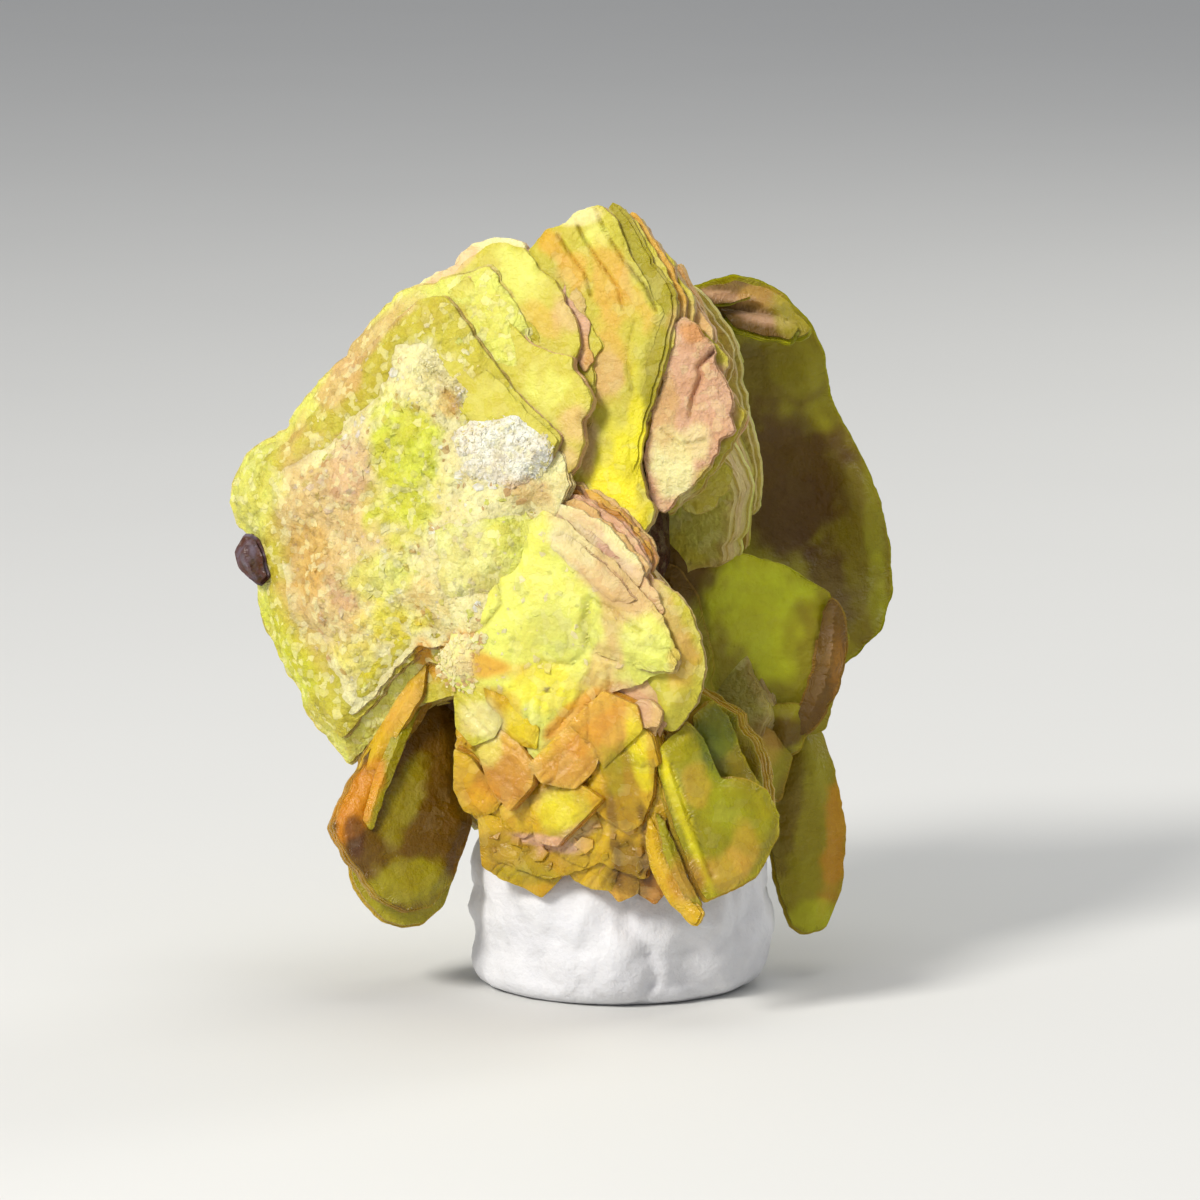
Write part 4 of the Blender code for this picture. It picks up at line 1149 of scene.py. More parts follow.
class SPECIMEN_OT_upper_plates(bpy.types.Operator):
    """The smooth plates above the fan, each behind the one below it"""

    bl_idname = "specimen.upper_plates"
    bl_label = "Upper plates"

    def execute(self, context):
        front = [
            (-3.44, 5.5), (-3.07, 5.35), (-2.72, 5.0), (-2.37, 4.65), (-2.05, 4.38), (-1.68, 4.0),
            (-1.4, 3.74), (-1.09, 3.47), (-0.86, 3.2), (-1.1, 2.7), (-1.8, 3.0), (-2.4, 3.4), (-2.9, 3.9),
            (-3.3, 4.5), (-3.5, 5.1),
        ]
        second = [
            (-3.98, 5.62), (-3.72, 5.83), (-3.24, 5.96), (-2.96, 6.26), (-2.7, 6.47), (-2.4, 6.16),
            (-2.05, 5.8), (-1.68, 5.4), (-1.41, 5.13), (-1.1, 5.0), (-0.88, 4.92), (-0.56, 4.89),
            (-0.56, 4.66), (-0.36, 4.4), (-0.18, 4.04), (-0.26, 3.8), (-0.4, 3.6), (-0.34, 3.2),
            (-0.5, 2.7), (-0.9, 2.3), (-1.6, 2.8), (-2.4, 3.6), (-3.2, 4.4), (-3.8, 5.1),
        ]
        third = [
            (-2.95, 6.5), (-2.8, 6.75), (-2.4, 7.05), (-2.1, 7.15), (-1.8, 7.15), (-1.54, 7.04),
            (-1.2, 6.64), (-0.9, 6.34), (-0.7, 6.0), (-0.5, 5.6), (-0.4, 5.1), (-0.56, 4.7), (-1.2, 4.4),
            (-1.9, 4.9), (-2.6, 5.6),
        ]
        ragged = [
            (-1.57, 7.06), (-1.25, 6.85), (-0.87, 6.63), (-0.6, 6.42), (-0.28, 6.04), (-0.28, 5.72),
            (-0.1, 5.4), (0.04, 5.08), (-0.05, 4.9), (-0.18, 4.7), (-0.1, 4.3), (-0.14, 3.9), (-0.24, 3.5),
            (-0.7, 3.6), (-1.0, 4.8), (-1.8, 5.6),
        ]
        ledge = [
            (-3.9, 6.05), (-3.5, 6.4), (-3.1, 6.62), (-2.85, 6.9), (-2.45, 7.14), (-2.1, 7.24),
            (-1.75, 7.24), (-1.5, 7.1), (-1.5, 6.0), (-2.6, 5.2), (-3.4, 5.3),
        ]
        stains = [
            Stain(-2.0, 6.2, 0.9, 0.5, "lemon", 0.6, 30),
            Stain(-1.6, 6.75, 0.6, 0.25, "lemon", 0.6, -20),
            Stain(-1.0, 4.2, 0.55, 0.45, "lemon", 0.6),
            Stain(-0.5, 3.5, 0.4, 0.6, "tan", 0.7),
            Stain(-3.1, 6.5, 0.9, 0.14, "rose", 0.6, 42),
            Stain(-1.2, 5.6, 0.5, 0.25, "ochre", 0.45, -40),
            Stain(-2.3, 5.0, 0.9, 0.3, "straw", 0.6, -42),
            Stain(-0.5, 5.9, 0.35, 0.6, "rose", 0.5, -20),
            Stain(-0.6, 2.9, 0.4, 0.4, "rose", 0.5),
        ]
        piece = Piece("upper_plates", stains, first_seed=200)
        plate = {"cell": FINE, "fine": 0.05, "soft": 0.03, "soft_width": 0.12, "rag": 0.7, "slip": 0.6}
        piece.front(front, 0.2, 0.3, (0.0, 0.03), tint="straw", **plate)
        piece.front(shrunk(front, 1.0, (0.08, 0.04)), 0.31, 0.3, (0.0, 0.03), tint="straw", **plate)
        piece.front(second, 0.52, 0.3, tint="straw", **plate)
        piece.front(third, 0.8, 0.3, tint="straw", **plate)
        piece.front(ledge, 0.94, 0.3, tint="cream", cell=MEDIUM, rag=1.2)
        piece.front(ragged, 1.05, 0.25, tint="straw", cell=FINE, fine=0.04, rag=1.3)
        piece.front(shrunk(ragged, 1.02, (0.05, -0.02)), 1.22, 0.25, tint="ochre", cell=MEDIUM, rag=1.3)
        crystal(piece, crystal_material(
            "Smooth crystal", mottle=0.35, fine=0.3, pale=0.12, facets=0.04, facet_size=2.2, grain=0.16,
            rough=(0.3, 0.5), edge_tint="rose", edge_strength=0.8,
        ))
        return {"FINISHED"}


class SPECIMEN_OT_upper_stack(bpy.types.Operator):
    """The upright stack at the top, with the edges of its leaves on the right"""

    bl_idname = "specimen.upper_stack"
    bl_label = "Upper stack"

    def execute(self, context):
        shoulder = [
            (-1.52, 7.0), (-1.32, 7.08), (-0.96, 6.76), (-0.68, 6.28), (-0.5, 5.88), (-0.2, 5.56),
            (-0.24, 5.2), (-0.12, 4.8), (-0.32, 4.56), (-0.8, 5.4),
        ]
        face = [
            (-1.46, 7.0), (-1.1, 7.4), (-0.7, 7.54), (-0.54, 7.76), (-0.3, 7.9), (0.04, 7.94), (0.24, 7.76),
            (0.4, 7.36), (0.68, 6.76), (1.0, 6.26), (1.28, 5.74), (1.14, 5.5), (1.04, 5.1), (0.94, 4.82),
            (1.0, 4.38), (0.84, 3.98), (0.76, 3.64), (0.7, 3.16), (0.8, 2.58), (0.9, 2.14), (1.08, 1.8),
            (1.0, 1.56), (0.66, 1.08), (0.32, 1.32), (0.02, 1.56), (-0.32, 1.86), (-0.68, 2.1), (-0.8, 3.0),
            (-1.0, 5.0),
        ]
        strips = [
            (1.2, 0.16, "olive", [
                (0.24, 7.92), (0.56, 7.56), (0.84, 7.08), (1.16, 6.6), (1.4, 6.2), (1.44, 5.7), (1.28, 5.1),
            ]),
            (1.34, 0.16, "straw", [
                (0.44, 7.88), (0.72, 7.56), (1.0, 7.12), (1.26, 6.72), (1.48, 6.28), (1.6, 5.88),
                (1.44, 5.1),
            ]),
            (1.5, 0.18, "ochre", [
                (0.64, 7.8), (0.88, 7.52), (1.16, 7.08), (1.36, 6.84), (1.56, 6.4), (1.72, 6.0), (1.6, 5.0),
            ]),
            (1.68, 0.2, "straw", [
                (0.84, 7.68), (1.04, 7.24), (1.42, 6.9), (1.58, 6.46), (1.84, 6.12), (1.86, 5.88),
                (1.8, 5.0),
            ]),
            (1.9, 0.3, "tan", [
                (0.8, 7.56), (1.28, 6.96), (1.6, 6.36), (1.92, 5.84), (2.22, 5.5), (2.26, 5.2), (2.0, 4.4),
            ]),
            (2.2, 0.3, "straw", [
                (1.0, 7.0), (1.52, 6.48), (2.0, 5.76), (2.3, 5.1), (2.56, 4.82), (2.5, 4.5), (2.0, 3.6),
            ]),
            (2.5, 0.4, "ochre", [
                (1.2, 6.4), (2.0, 5.6), (2.32, 5.0), (2.44, 4.4), (2.68, 3.9), (2.88, 3.7), (2.78, 3.4),
                (2.2, 3.0),
            ]),
        ]
        back = [
            (-0.8, 6.3), (0.2, 6.9), (1.0, 6.5), (1.5, 5.9), (1.7, 5.2), (1.7, 4.3), (1.4, 3.4), (0.9, 2.6),
            (-0.6, 2.4),
        ]
        # Dark lines along the leaves: shallow grooves darkened with painted shade.
        lines = (
            Groove([(-0.5, 7.6), (-0.34, 7.24), (-0.02, 6.76), (0.34, 6.26), (0.46, 5.8)], 0.06, 0.035, 0.5),
            Groove([(-0.1, 7.8), (0.14, 7.3), (0.46, 6.8), (0.9, 6.26), (1.1, 5.8)], 0.06, 0.035, 0.5),
            Groove([(-0.85, 7.3), (-0.6, 6.9), (-0.3, 6.5), (-0.2, 6.1)], 0.06, 0.035, 0.4),
            Groove([(0.7, 5.6), (0.5, 4.9), (0.62, 4.2)], 0.04, 0.04, 0.3),
        )
        stains = [
            Stain(-0.95, 7.1, 0.5, 0.3, "iron", 0.5, -40),
            Stain(-0.5, 6.6, 0.5, 0.4, "ochre", 0.8, -60),
            Stain(-0.4, 7.65, 0.5, 0.2, "cream", 0.7),
            Stain(-0.1, 7.3, 0.3, 0.3, "lemon", 0.6),
            Stain(0.15, 6.4, 0.4, 0.9, "ochre", 0.7, 20),
            Stain(0.7, 5.9, 0.3, 0.7, "ochre", 0.6, 30),
            Stain(0.5, 5.4, 0.35, 0.5, "straw", 0.6),
            Stain(0.1, 4.8, 0.6, 0.9, "ochre", 0.7),
            Stain(0.1, 4.5, 0.4, 0.5, "rose", 0.4),
            Stain(0.7, 4.6, 0.2, 0.9, "straw", 0.7),
            Stain(0.35, 3.6, 0.4, 0.5, "straw", 0.7),
            Stain(0.5, 2.3, 0.75, 1.1, "bright", 0.95),
            Stain(0.72, 3.2, 0.15, 1.4, "bright", 0.9),
            Stain(-0.3, 3.2, 0.25, 0.7, "rose", 0.6),
            Stain(1.9, 5.4, 0.5, 0.5, "tan", 0.6, -45),
        ]
        piece = Piece("upper_stack", stains, first_seed=300)
        smooth = {"cell": FINEST, "fine": 0.08, "soft": 0.06, "soft_width": 0.2, "rag": 0.7}
        piece.front(shoulder, 1.0, 0.3, tint="rose", cell=FINE, fine=0.05, rag=0.8)
        piece.front(face, 1.12, 0.4, (0.08, 0.0), tint="straw", grooves=lines, **smooth)
        for step, thickness, name, rim in strips:
            foot = [(0.6, 2.4), (-0.3, 2.8), (-0.4, 7.0 - 0.3 * step)]
            piece.front(rim + foot, step + 0.05, thickness, tint=name, cell=MEDIUM, slip=1.4)
        piece.front(back, 2.6, 0.7)
        piece.front(shrunk(back, 0.93, (-0.1, -0.1)), 3.2, 1.0, tint="ochre")
        crystal(piece, crystal_material(
            "Stack crystal", mottle=0.4, fine=0.35, pale=0.15, facets=0.06, facet_size=1.8, grain=0.2,
            edge_tint="rose", edge_strength=0.7,
        ))
        return {"FINISHED"}


class SPECIMEN_OT_rose_plate(bpy.types.Operator):
    """The stained plate right of the stack, with a paler sheet under it"""

    bl_idname = "specimen.rose_plate"
    bl_label = "Rose plate"

    def execute(self, context):
        face = [
            (1.62, 5.64), (1.88, 5.54), (2.1, 5.24), (2.3, 5.0), (2.26, 4.72), (2.5, 4.38), (2.64, 4.08),
            (2.6, 3.74), (2.68, 3.4), (2.36, 2.98), (1.92, 2.38), (1.28, 1.74), (1.12, 1.82), (0.94, 2.38),
            (0.88, 2.92), (1.02, 3.56), (1.08, 4.04), (1.22, 4.38), (1.28, 4.76), (1.38, 5.2), (1.52, 5.54),
        ]
        under = [
            (1.8, 5.64), (2.08, 5.4), (2.3, 5.1), (2.56, 4.82), (2.44, 4.4), (2.76, 3.92), (2.9, 3.7),
            (2.74, 3.28), (2.44, 2.8), (2.0, 2.28), (1.36, 1.7), (1.2, 2.4), (1.36, 4.0), (1.52, 5.0),
        ]
        chip = [
            (1.6, 2.0), (2.0, 2.6), (2.5, 3.0), (2.64, 2.6), (2.56, 2.1), (2.24, 1.8), (1.9, 1.7),
            (1.7, 1.8),
        ]
        # The outline of the dark sheet that stands in for the shade in the crevice behind the plates.
        root = [(0.5, 5.5), (1.5, 5.6), (2.0, 4.6), (2.1, 3.4), (1.6, 2.4), (1.0, 1.9), (0.4, 2.2)]
        # Cracks in the face, darkened with painted shade.
        cracks = (
            Groove([(2.3, 5.0), (1.96, 4.66), (2.02, 4.48), (1.86, 4.08), (1.8, 3.7)], 0.12, 0.05),
            Groove([(1.25, 3.4), (1.6, 3.1), (2.1, 3.2)], 0.05, 0.04),
        )
        stains = [
            Stain(2.15, 4.1, 0.6, 0.9, "rose", 0.9),
            Stain(1.75, 4.9, 0.35, 0.5, "rose", 0.7),
            Stain(1.9, 5.35, 0.25, 0.2, "iron", 0.5),
            Stain(1.5, 2.7, 0.45, 0.7, "cream", 0.95),
            Stain(1.95, 3.1, 0.3, 0.4, "cream", 0.6),
            Stain(1.3, 3.9, 0.3, 0.7, "tan", 0.7),
            Stain(2.2, 2.4, 0.3, 0.4, "straw", 0.8),
        ]
        piece = Piece("rose_plate", stains, first_seed=400)
        piece.sheet(
            face, -3.75, (-0.12, 0.05), 0.3, tint="rose", relief=RELIEF, cell=FINEST, fine=0.09,
            face="flat", grooves=cracks, soft=0.03,
        )
        piece.sheet(under, -3.45, (-0.12, 0.05), 0.4, tint="straw", cell=FINE, rag=1.2, slip=1.4)
        piece.sheet(chip, -2.6, (0.1, -0.2), 0.5, tint="straw", cell=MEDIUM)
        # A dark umber sheet behind the plates: painted shade in the crevice round them.
        piece.sheet(root, -3.1, (-0.2, 0.0), 1.5, tint="umber")
        crystal(piece, crystal_material(
            "Rose crystal", mottle=0.5, fine=0.45, pale=0.2, facets=0.12, facet_size=1.4, grain=0.35,
            edge_tint="tan",
        ))
        return {"FINISHED"}


class SPECIMEN_OT_lower_fan(bpy.types.Operator):
    """The fan below the crevice"""

    bl_idname = "specimen.lower_fan"
    bl_label = "Lower fan"

    def execute(self, context):
        face = [
            (-1.2, 1.76), (-0.8, 1.6), (-0.32, 1.18), (0.16, 0.8), (0.56, 0.4), (0.9, 0.0), (1.2, -0.36),
            (1.5, -1.14), (1.42, -1.44), (0.96, -1.52), (0.64, -1.8), (0.32, -1.8), (-0.06, -1.96),
            (-0.48, -2.36), (-0.88, -2.76), (-1.36, -3.24), (-1.6, -2.96), (-1.88, -2.6), (-2.24, -2.24),
            (-2.68, -1.88), (-3.08, -1.68), (-3.28, -1.28), (-3.08, -0.8), (-2.76, 0.0), (-2.2, 0.8),
            (-1.68, 1.4),
        ]
        lobe = [
            (-1.62, -0.12), (-1.44, 0.2), (-1.04, 0.38), (-0.6, 0.3), (-0.32, 0.0), (-0.22, -0.4),
            (-0.32, -1.04), (-0.6, -1.3), (-1.14, -1.24), (-1.52, -0.88), (-1.66, -0.5),
        ]
        plate = [
            (-0.24, 0.04), (0.2, -0.18), (0.8, -0.64), (1.36, -1.0), (1.52, -1.16), (1.42, -1.44),
            (1.16, -1.4), (0.96, -1.44), (0.34, -1.24), (-0.16, -1.04), (-0.36, -0.56),
        ]
        upper = [
            (-1.04, 1.52), (-0.56, 1.2), (-0.08, 0.8), (0.36, 0.36), (0.68, 0.0), (0.24, -0.24),
            (-0.32, 0.12), (-0.8, 0.56), (-1.2, 1.04),
        ]
        shoulder = [
            (-0.88, 1.72), (-0.3, 1.44), (0.24, 1.04), (0.72, 0.6), (1.1, 0.2), (1.28, -0.24), (0.8, -0.44),
            (0.0, 0.2), (-0.68, 0.88),
        ]
        rolled = [
            (0.8, 0.48), (1.26, 0.24), (1.6, -0.04), (1.76, -0.3), (1.92, -0.8), (2.02, -1.28),
            (1.94, -1.86), (1.68, -2.36), (1.4, -2.68), (1.0, -2.56), (0.8, -2.0), (0.4, -1.6), (0.0, -1.0),
            (0.0, 0.0),
        ]
        second = [
            (-0.5, 1.55), (0.3, 1.2), (1.1, 0.4), (1.5, -0.1), (1.7, -0.8), (1.7, -1.6), (1.5, -2.3),
            (1.1, -2.8), (0.2, -2.8), (-1.6, -2.4),
        ]
        fringe = [
            (-3.44, -1.2), (-3.08, -0.8), (-2.6, -0.56), (-2.2, -0.68), (-2.32, -1.0), (-2.6, -1.36),
            (-2.48, -1.8), (-2.8, -1.92), (-3.2, -1.8),
        ]
        ledge = [
            (0.0, -1.88), (0.36, -1.36), (0.9, -1.48), (1.2, -1.8), (1.28, -2.24), (1.1, -2.78),
            (0.8, -2.48), (0.64, -2.28), (0.3, -2.24),
        ]
        leaf = [
            (-1.04, 2.0), (-0.68, 1.94), (-0.2, 1.72), (0.24, 1.4), (0.6, 1.0), (0.92, 0.56), (0.8, 0.24),
            (0.36, 0.52), (-0.12, 0.88), (-0.64, 1.28), (-1.04, 1.6),
        ]
        shelf = [
            (0.6, -2.12), (0.8, -2.0), (1.08, -2.04), (1.24, -2.24), (1.16, -2.52), (0.88, -2.56),
            (0.68, -2.44),
        ]
        # Needle lines and creases are shallow grooves darkened with painted shade.
        needles = tuple(
            Groove([(-1.5 + 0.25 * i, -2.8 + 0.2 * i), (-1.4 + 0.27 * i, -1.75 + 0.05 * i)], 0.03, 0.05, 0.2)
            for i in range(6)
        )
        creases = (
            Groove(lobe[4:9], 0.05, 0.06, 0.16),
            Groove(plate[-3:] + plate[:3], 0.07, 0.06, 0.3),
            Groove([
                (-1.68, 1.2), (-2.0, 0.88), (-2.12, 0.4), (-2.0, -0.08), (-2.28, -0.48), (-2.6, -0.68),
            ], 0.06, 0.05, 0.35),
            Groove([(-0.16, -1.24), (-0.32, -1.8), (-0.68, -2.32), (-1.08, -2.72)], 0.04, 0.05, 0.3),
            Groove([(0.16, -1.36), (0.12, -1.8), (-0.08, -2.08), (-0.4, -2.44)], 0.04, 0.05, 0.3),
        )
        stains = [
            Stain(0.0, 0.75, 1.5, 0.5, "rose", 0.7, -43),
            Stain(0.15, 0.35, 1.2, 0.35, "tan", 0.7, -43),
            Stain(-0.6, 1.2, 0.6, 0.35, "cream", 0.6, -43),
            Stain(0.25, -0.45, 0.2, 0.6, "tan", 0.7, 15),
            Stain(0.0, -1.4, 0.35, 0.8, "tan", 0.7, -25),
            Stain(-0.5, -2.4, 0.9, 0.25, "ochre", 0.7, 43),
            Stain(-0.7, 0.0, 0.5, 0.5, "lemon", 0.7),
            Stain(-1.1, -1.7, 0.8, 0.5, "bright", 0.6),
            Stain(0.8, -0.9, 0.5, 0.3, "lemon", 0.8, -30),
            Stain(-2.2, -1.3, 0.7, 0.3, "iron", 0.7, -8),
            Stain(-2.9, -1.2, 0.4, 0.5, "cream", 0.7),
            Stain(-2.0, -2.1, 0.6, 0.3, "amber", 0.7, -35),
            Stain(-1.06, -1.8, 0.06, 0.06, "umber", 0.8),
            Stain(0.6, -2.1, 0.5, 0.4, "rose", 0.7),
            Stain(-0.6, -2.3, 0.8, 0.16, "iron", 0.6, 43),
            Stain(1.6, -1.2, 0.3, 0.7, "ochre", 0.6),
            Stain(1.3, -0.2, 0.3, 0.9, "tan", 0.6, 25),
        ]
        piece = Piece("lower_fan", stains, first_seed=500)
        cushion = {"cell": FINE, "fine": 0.07, "face": "smooth", "soft": 0.14, "soft_width": 0.3, "rag": 0.7}
        top = piece.front(
            face, 0.1, 0.3, tint="lemon", relief=RELIEF, cell=FINE, fine=0.13, grooves=needles + creases,
            soft=0.2, soft_width=0.6,
        )
        round_edge = {"soft": 0.2, "soft_width": 0.5}
        piece.front(lobe, 0.02, 0.4, (0.06, 0.05), tint="lemon", **(cushion | round_edge))
        piece.front(plate, 0.02, 0.4, (0.02, 0.1), tint="lemon", **cushion)
        piece.front(upper, 0.04, 0.35, tint="cream", **cushion)
        piece.front(shoulder, 0.34, 0.3, tint="rose", cell=FINE, rag=1.2)
        for i, name in enumerate(("cream", "tan", "rose", "brick", "ochre", "tan")):
            moved = shrunk(leaf, 1.0, (0.05 * i, 0.09 * i))
            piece.front(moved, 0.32 + 0.12 * i, 0.2, tint=name, cell=MEDIUM, fine=0.08, rag=1.5, slip=1.6)
        piece.front(ledge, 0.42, 0.35, tint="tan", cell=FINE, face="flat", fine=0.08)
        piece.front(shelf, 0.24, 0.45, tint="tan", cell=FINE, face="flat", fine=0.08, slip=1.5)
        piece.front(rolled, 0.4, 0.4, tint="straw", cell=FINE, fine=0.1, soft=0.22, soft_width=0.4)
        piece.front(second, 0.95, 0.5)
        piece.front(shrunk(second, 0.92, (-0.1, 0.1)), 1.4, 0.7)
        piece.front(shrunk(second, 0.85, (-0.2, 0.0)), 2.0, 1.0, tint="ochre")
        light = ("lemon", "cream")
        piece.scatter(top, shrunk(face, 0.85), 140, (0.03, 0.15), 6.0, light, 0.2, 0.9, seed=6)
        piece.scatter(top, shrunk(fringe, 0.95), 260, (0.03, 0.11), 18.0, ("cream", "tan"), 0.5, 0.6, seed=8)
        crystal(piece, crystal_material(
            "Lower crystal", mottle=0.4, fine=0.35, pale=0.2, facets=0.05, facet_size=1.5, grain=0.14,
            edge_tint="rose",
        ))
        return {"FINISHED"}


class SPECIMEN_OT_lower_tablets(bpy.types.Operator):
    """The blocky, glassy tablets between the lower fan and the putty"""

    bl_idname = "specimen.lower_tablets"
    bl_label = "Lower tablets"

    def execute(self, context):
        base = [
            (-2.9, -1.7), (-2.3, -1.4), (-1.2, -2.0), (-0.2, -1.8), (0.9, -2.0), (1.2, -3.0), (1.2, -4.4),
            (0.9, -5.6), (0.0, -5.3), (-1.0, -5.6), (-2.2, -5.2), (-2.6, -4.2), (-2.88, -3.2),
        ]
        blocks = [
            (0.18, 0.5, "straw", [
                (-2.92, -1.68), (-2.4, -1.64), (-1.88, -2.24), (-2.16, -2.72), (-2.56, -2.88),
                (-2.88, -2.52),
            ]),
            (0.14, 0.5, "amber", [
                (-2.32, -1.8), (-1.8, -2.0), (-1.28, -2.56), (-1.32, -2.96), (-1.8, -2.84), (-2.2, -2.32),
            ]),
            (0.12, 0.5, "ochre", [
                (-2.52, -2.72), (-2.0, -2.44), (-1.36, -3.32), (-1.4, -3.68), (-1.84, -4.16),
                (-2.24, -3.68),
            ]),
            (0.24, 0.5, "amber", [
                (-2.9, -3.04), (-2.6, -3.2), (-2.32, -3.54), (-1.96, -3.94), (-2.12, -4.2), (-2.4, -4.32),
                (-2.72, -4.2), (-2.92, -3.8),
            ]),
            (0.14, 0.4, "ochre", [
                (-1.4, -3.28), (-0.52, -2.44), (0.0, -2.84), (-0.12, -3.36), (-0.52, -3.76), (-1.16, -3.64),
            ]),
            (0.16, 0.45, "ochre", [
                (-0.6, -2.48), (0.04, -1.88), (0.68, -2.16), (0.8, -2.6), (0.08, -3.32), (-0.16, -2.96),
            ]),
            (0.2, 0.5, "amber", [
                (-1.44, -3.84), (-1.08, -3.64), (-0.6, -3.62), (-0.04, -4.0), (-0.88, -4.88), (-1.28, -4.8),
            ]),
            (0.34, 0.5, "amber", [
                (-2.0, -4.16), (-1.6, -3.8), (-1.24, -4.0), (-1.2, -4.52), (-1.56, -4.76), (-1.92, -4.56),
            ]),
            (0.38, 0.5, "amber", [
                (-0.88, -4.82), (-0.52, -4.52), (-0.16, -4.24), (0.02, -4.56), (-0.02, -4.96),
                (-0.34, -5.32), (-0.76, -5.14),
            ]),
            (0.5, 0.6, "amber", [
                (-2.4, -4.32), (-1.88, -4.44), (-1.44, -4.6), (-1.0, -4.78), (-0.68, -5.28), (-0.92, -5.64),
                (-1.2, -5.92), (-1.54, -5.72), (-1.96, -5.56), (-2.32, -5.32),
            ]),
            (0.28, 0.5, "amber", [
                (0.12, -3.04), (0.56, -3.08), (1.04, -3.28), (1.0, -3.88), (0.8, -4.44), (0.52, -4.6),
                (0.08, -4.32), (-0.28, -3.92), (-0.08, -3.44),
            ]),
            (0.3, 0.45, "amber", [
                (0.24, -2.32), (0.68, -2.44), (1.0, -2.76), (1.12, -3.28), (0.8, -3.44), (0.44, -3.28),
                (0.12, -2.96),
            ]),
            (0.5, 0.5, "amber", [
                (-0.76, -5.24), (-0.32, -4.92), (0.08, -4.92), (0.32, -5.44), (0.2, -5.8), (-0.2, -5.76),
                (-0.52, -5.6),
            ]),
            (0.55, 0.5, "ochre", [
                (-0.2, -4.32), (0.24, -4.4), (0.64, -4.6), (0.8, -5.28), (0.72, -5.84), (0.36, -6.0),
                (0.04, -5.64), (-0.12, -5.0),
            ]),
            (0.6, 0.5, "brick", [
                (0.52, -4.44), (0.92, -4.24), (1.28, -4.4), (1.4, -5.0), (1.36, -5.68), (1.08, -6.04),
                (0.72, -5.8), (0.56, -5.2),
            ]),
            (0.5, 0.4, "amber", [
                (0.88, -2.72), (1.2, -2.88), (1.4, -3.4), (1.36, -4.16), (1.16, -4.64), (0.84, -4.56),
                (0.68, -4.0), (0.8, -3.28),
            ]),
        ]
        stains = [
            Stain(-1.85, -3.5, 0.5, 0.6, "brick", 0.65, -35),
            Stain(-2.2, -3.0, 0.3, 0.3, "lemon", 0.5),
            Stain(-1.5, -2.6, 0.8, 0.3, "bright", 0.5, -40),
            Stain(-0.75, -3.3, 0.6, 0.4, "brick", 0.4, 20),
            Stain(-0.75, -4.25, 0.5, 0.5, "straw", 0.7),
            Stain(-0.5, -4.7, 0.5, 0.14, "rose", 0.5, 30),
            Stain(0.55, -3.9, 0.4, 0.9, "bark", 0.45),
            Stain(0.3, -3.5, 0.2, 0.5, "olive", 0.6, 10),
            Stain(-1.6, -5.1, 1.0, 0.5, "bark", 0.3),
            Stain(-2.35, -4.0, 0.3, 0.3, "iron", 0.4),
            Stain(-1.3, -3.9, 0.5, 0.12, "bark", 0.5, 43),
            Stain(-1.2, -4.82, 0.7, 0.12, "rose", 0.9, -12),
            Stain(-2.3, -2.4, 0.5, 0.4, "cream", 0.6),
            Stain(0.4, -3.2, 0.4, 0.3, "olive", 0.4),
            # Partly painted shade: the shaded hollow of dark leaves low on the right.
            Stain(0.6, -5.2, 0.5, 0.7, "bark", 0.7),
            Stain(-1.5, -5.5, 0.6, 0.25, "olive", 0.6),
            Stain(-0.9, -4.2, 0.4, 0.3, "bright", 0.5),
            Stain(0.8, -3.2, 0.2, 0.8, "bright", 0.6, 10),
            Stain(-0.2, -2.7, 0.8, 0.2, "iron", 0.4, 45),
            # Painted shade: thin dark lines between the tablets low on the right.
            Stain(0.9, -4.9, 0.14, 0.9, "umber", 0.6, 5),
            Stain(0.3, -4.8, 0.12, 0.8, "umber", 0.5, 5),
        ]
        glassy = {
            "rag": 0.25, "slip": 0.6, "cell": FINE, "fine": 0.09, "face": "flat", "soft": 0.03,
            "soft_width": 0.14,
        }
        piece = Piece("lower_tablets", stains, first_seed=600)
        root = piece.front(base, 0.5, 1.0, tint="amber", cell=FINE, fine=0.16, face="rough")
        piece.scatter(root, shrunk(base, 0.92), 120, (0.1, 0.34), 12.0, ("amber", "ochre"), 0.5, 0.5, seed=9)
        for i, (step, thickness, name, outline) in enumerate(blocks):
            tip = (0.14 * math.sin(5.0 * i), 0.16 * math.cos(3.0 * i))
            u = middle_of(outline)[0]
            angle = -48.0 if u < -1.6 else 43.0 if u < 0.1 else -78.0
            piece.front(
                shrunk(outline, 1.08), step, thickness, tip, tint=name,
                grooves=cleavage(outline, angle + 12.0 * math.sin(7.0 * i)), **glassy,
            )
        crystal(piece, crystal_material(
            "Amber crystal", mottle=0.6, fine=0.5, pale=0.08, facets=0.12, facet_size=2.4, grain=0.14,
            rough=(0.12, 0.35), edge_tint="iron", edge_strength=0.6, glow=0.3,
        ))
        return {"FINISHED"}


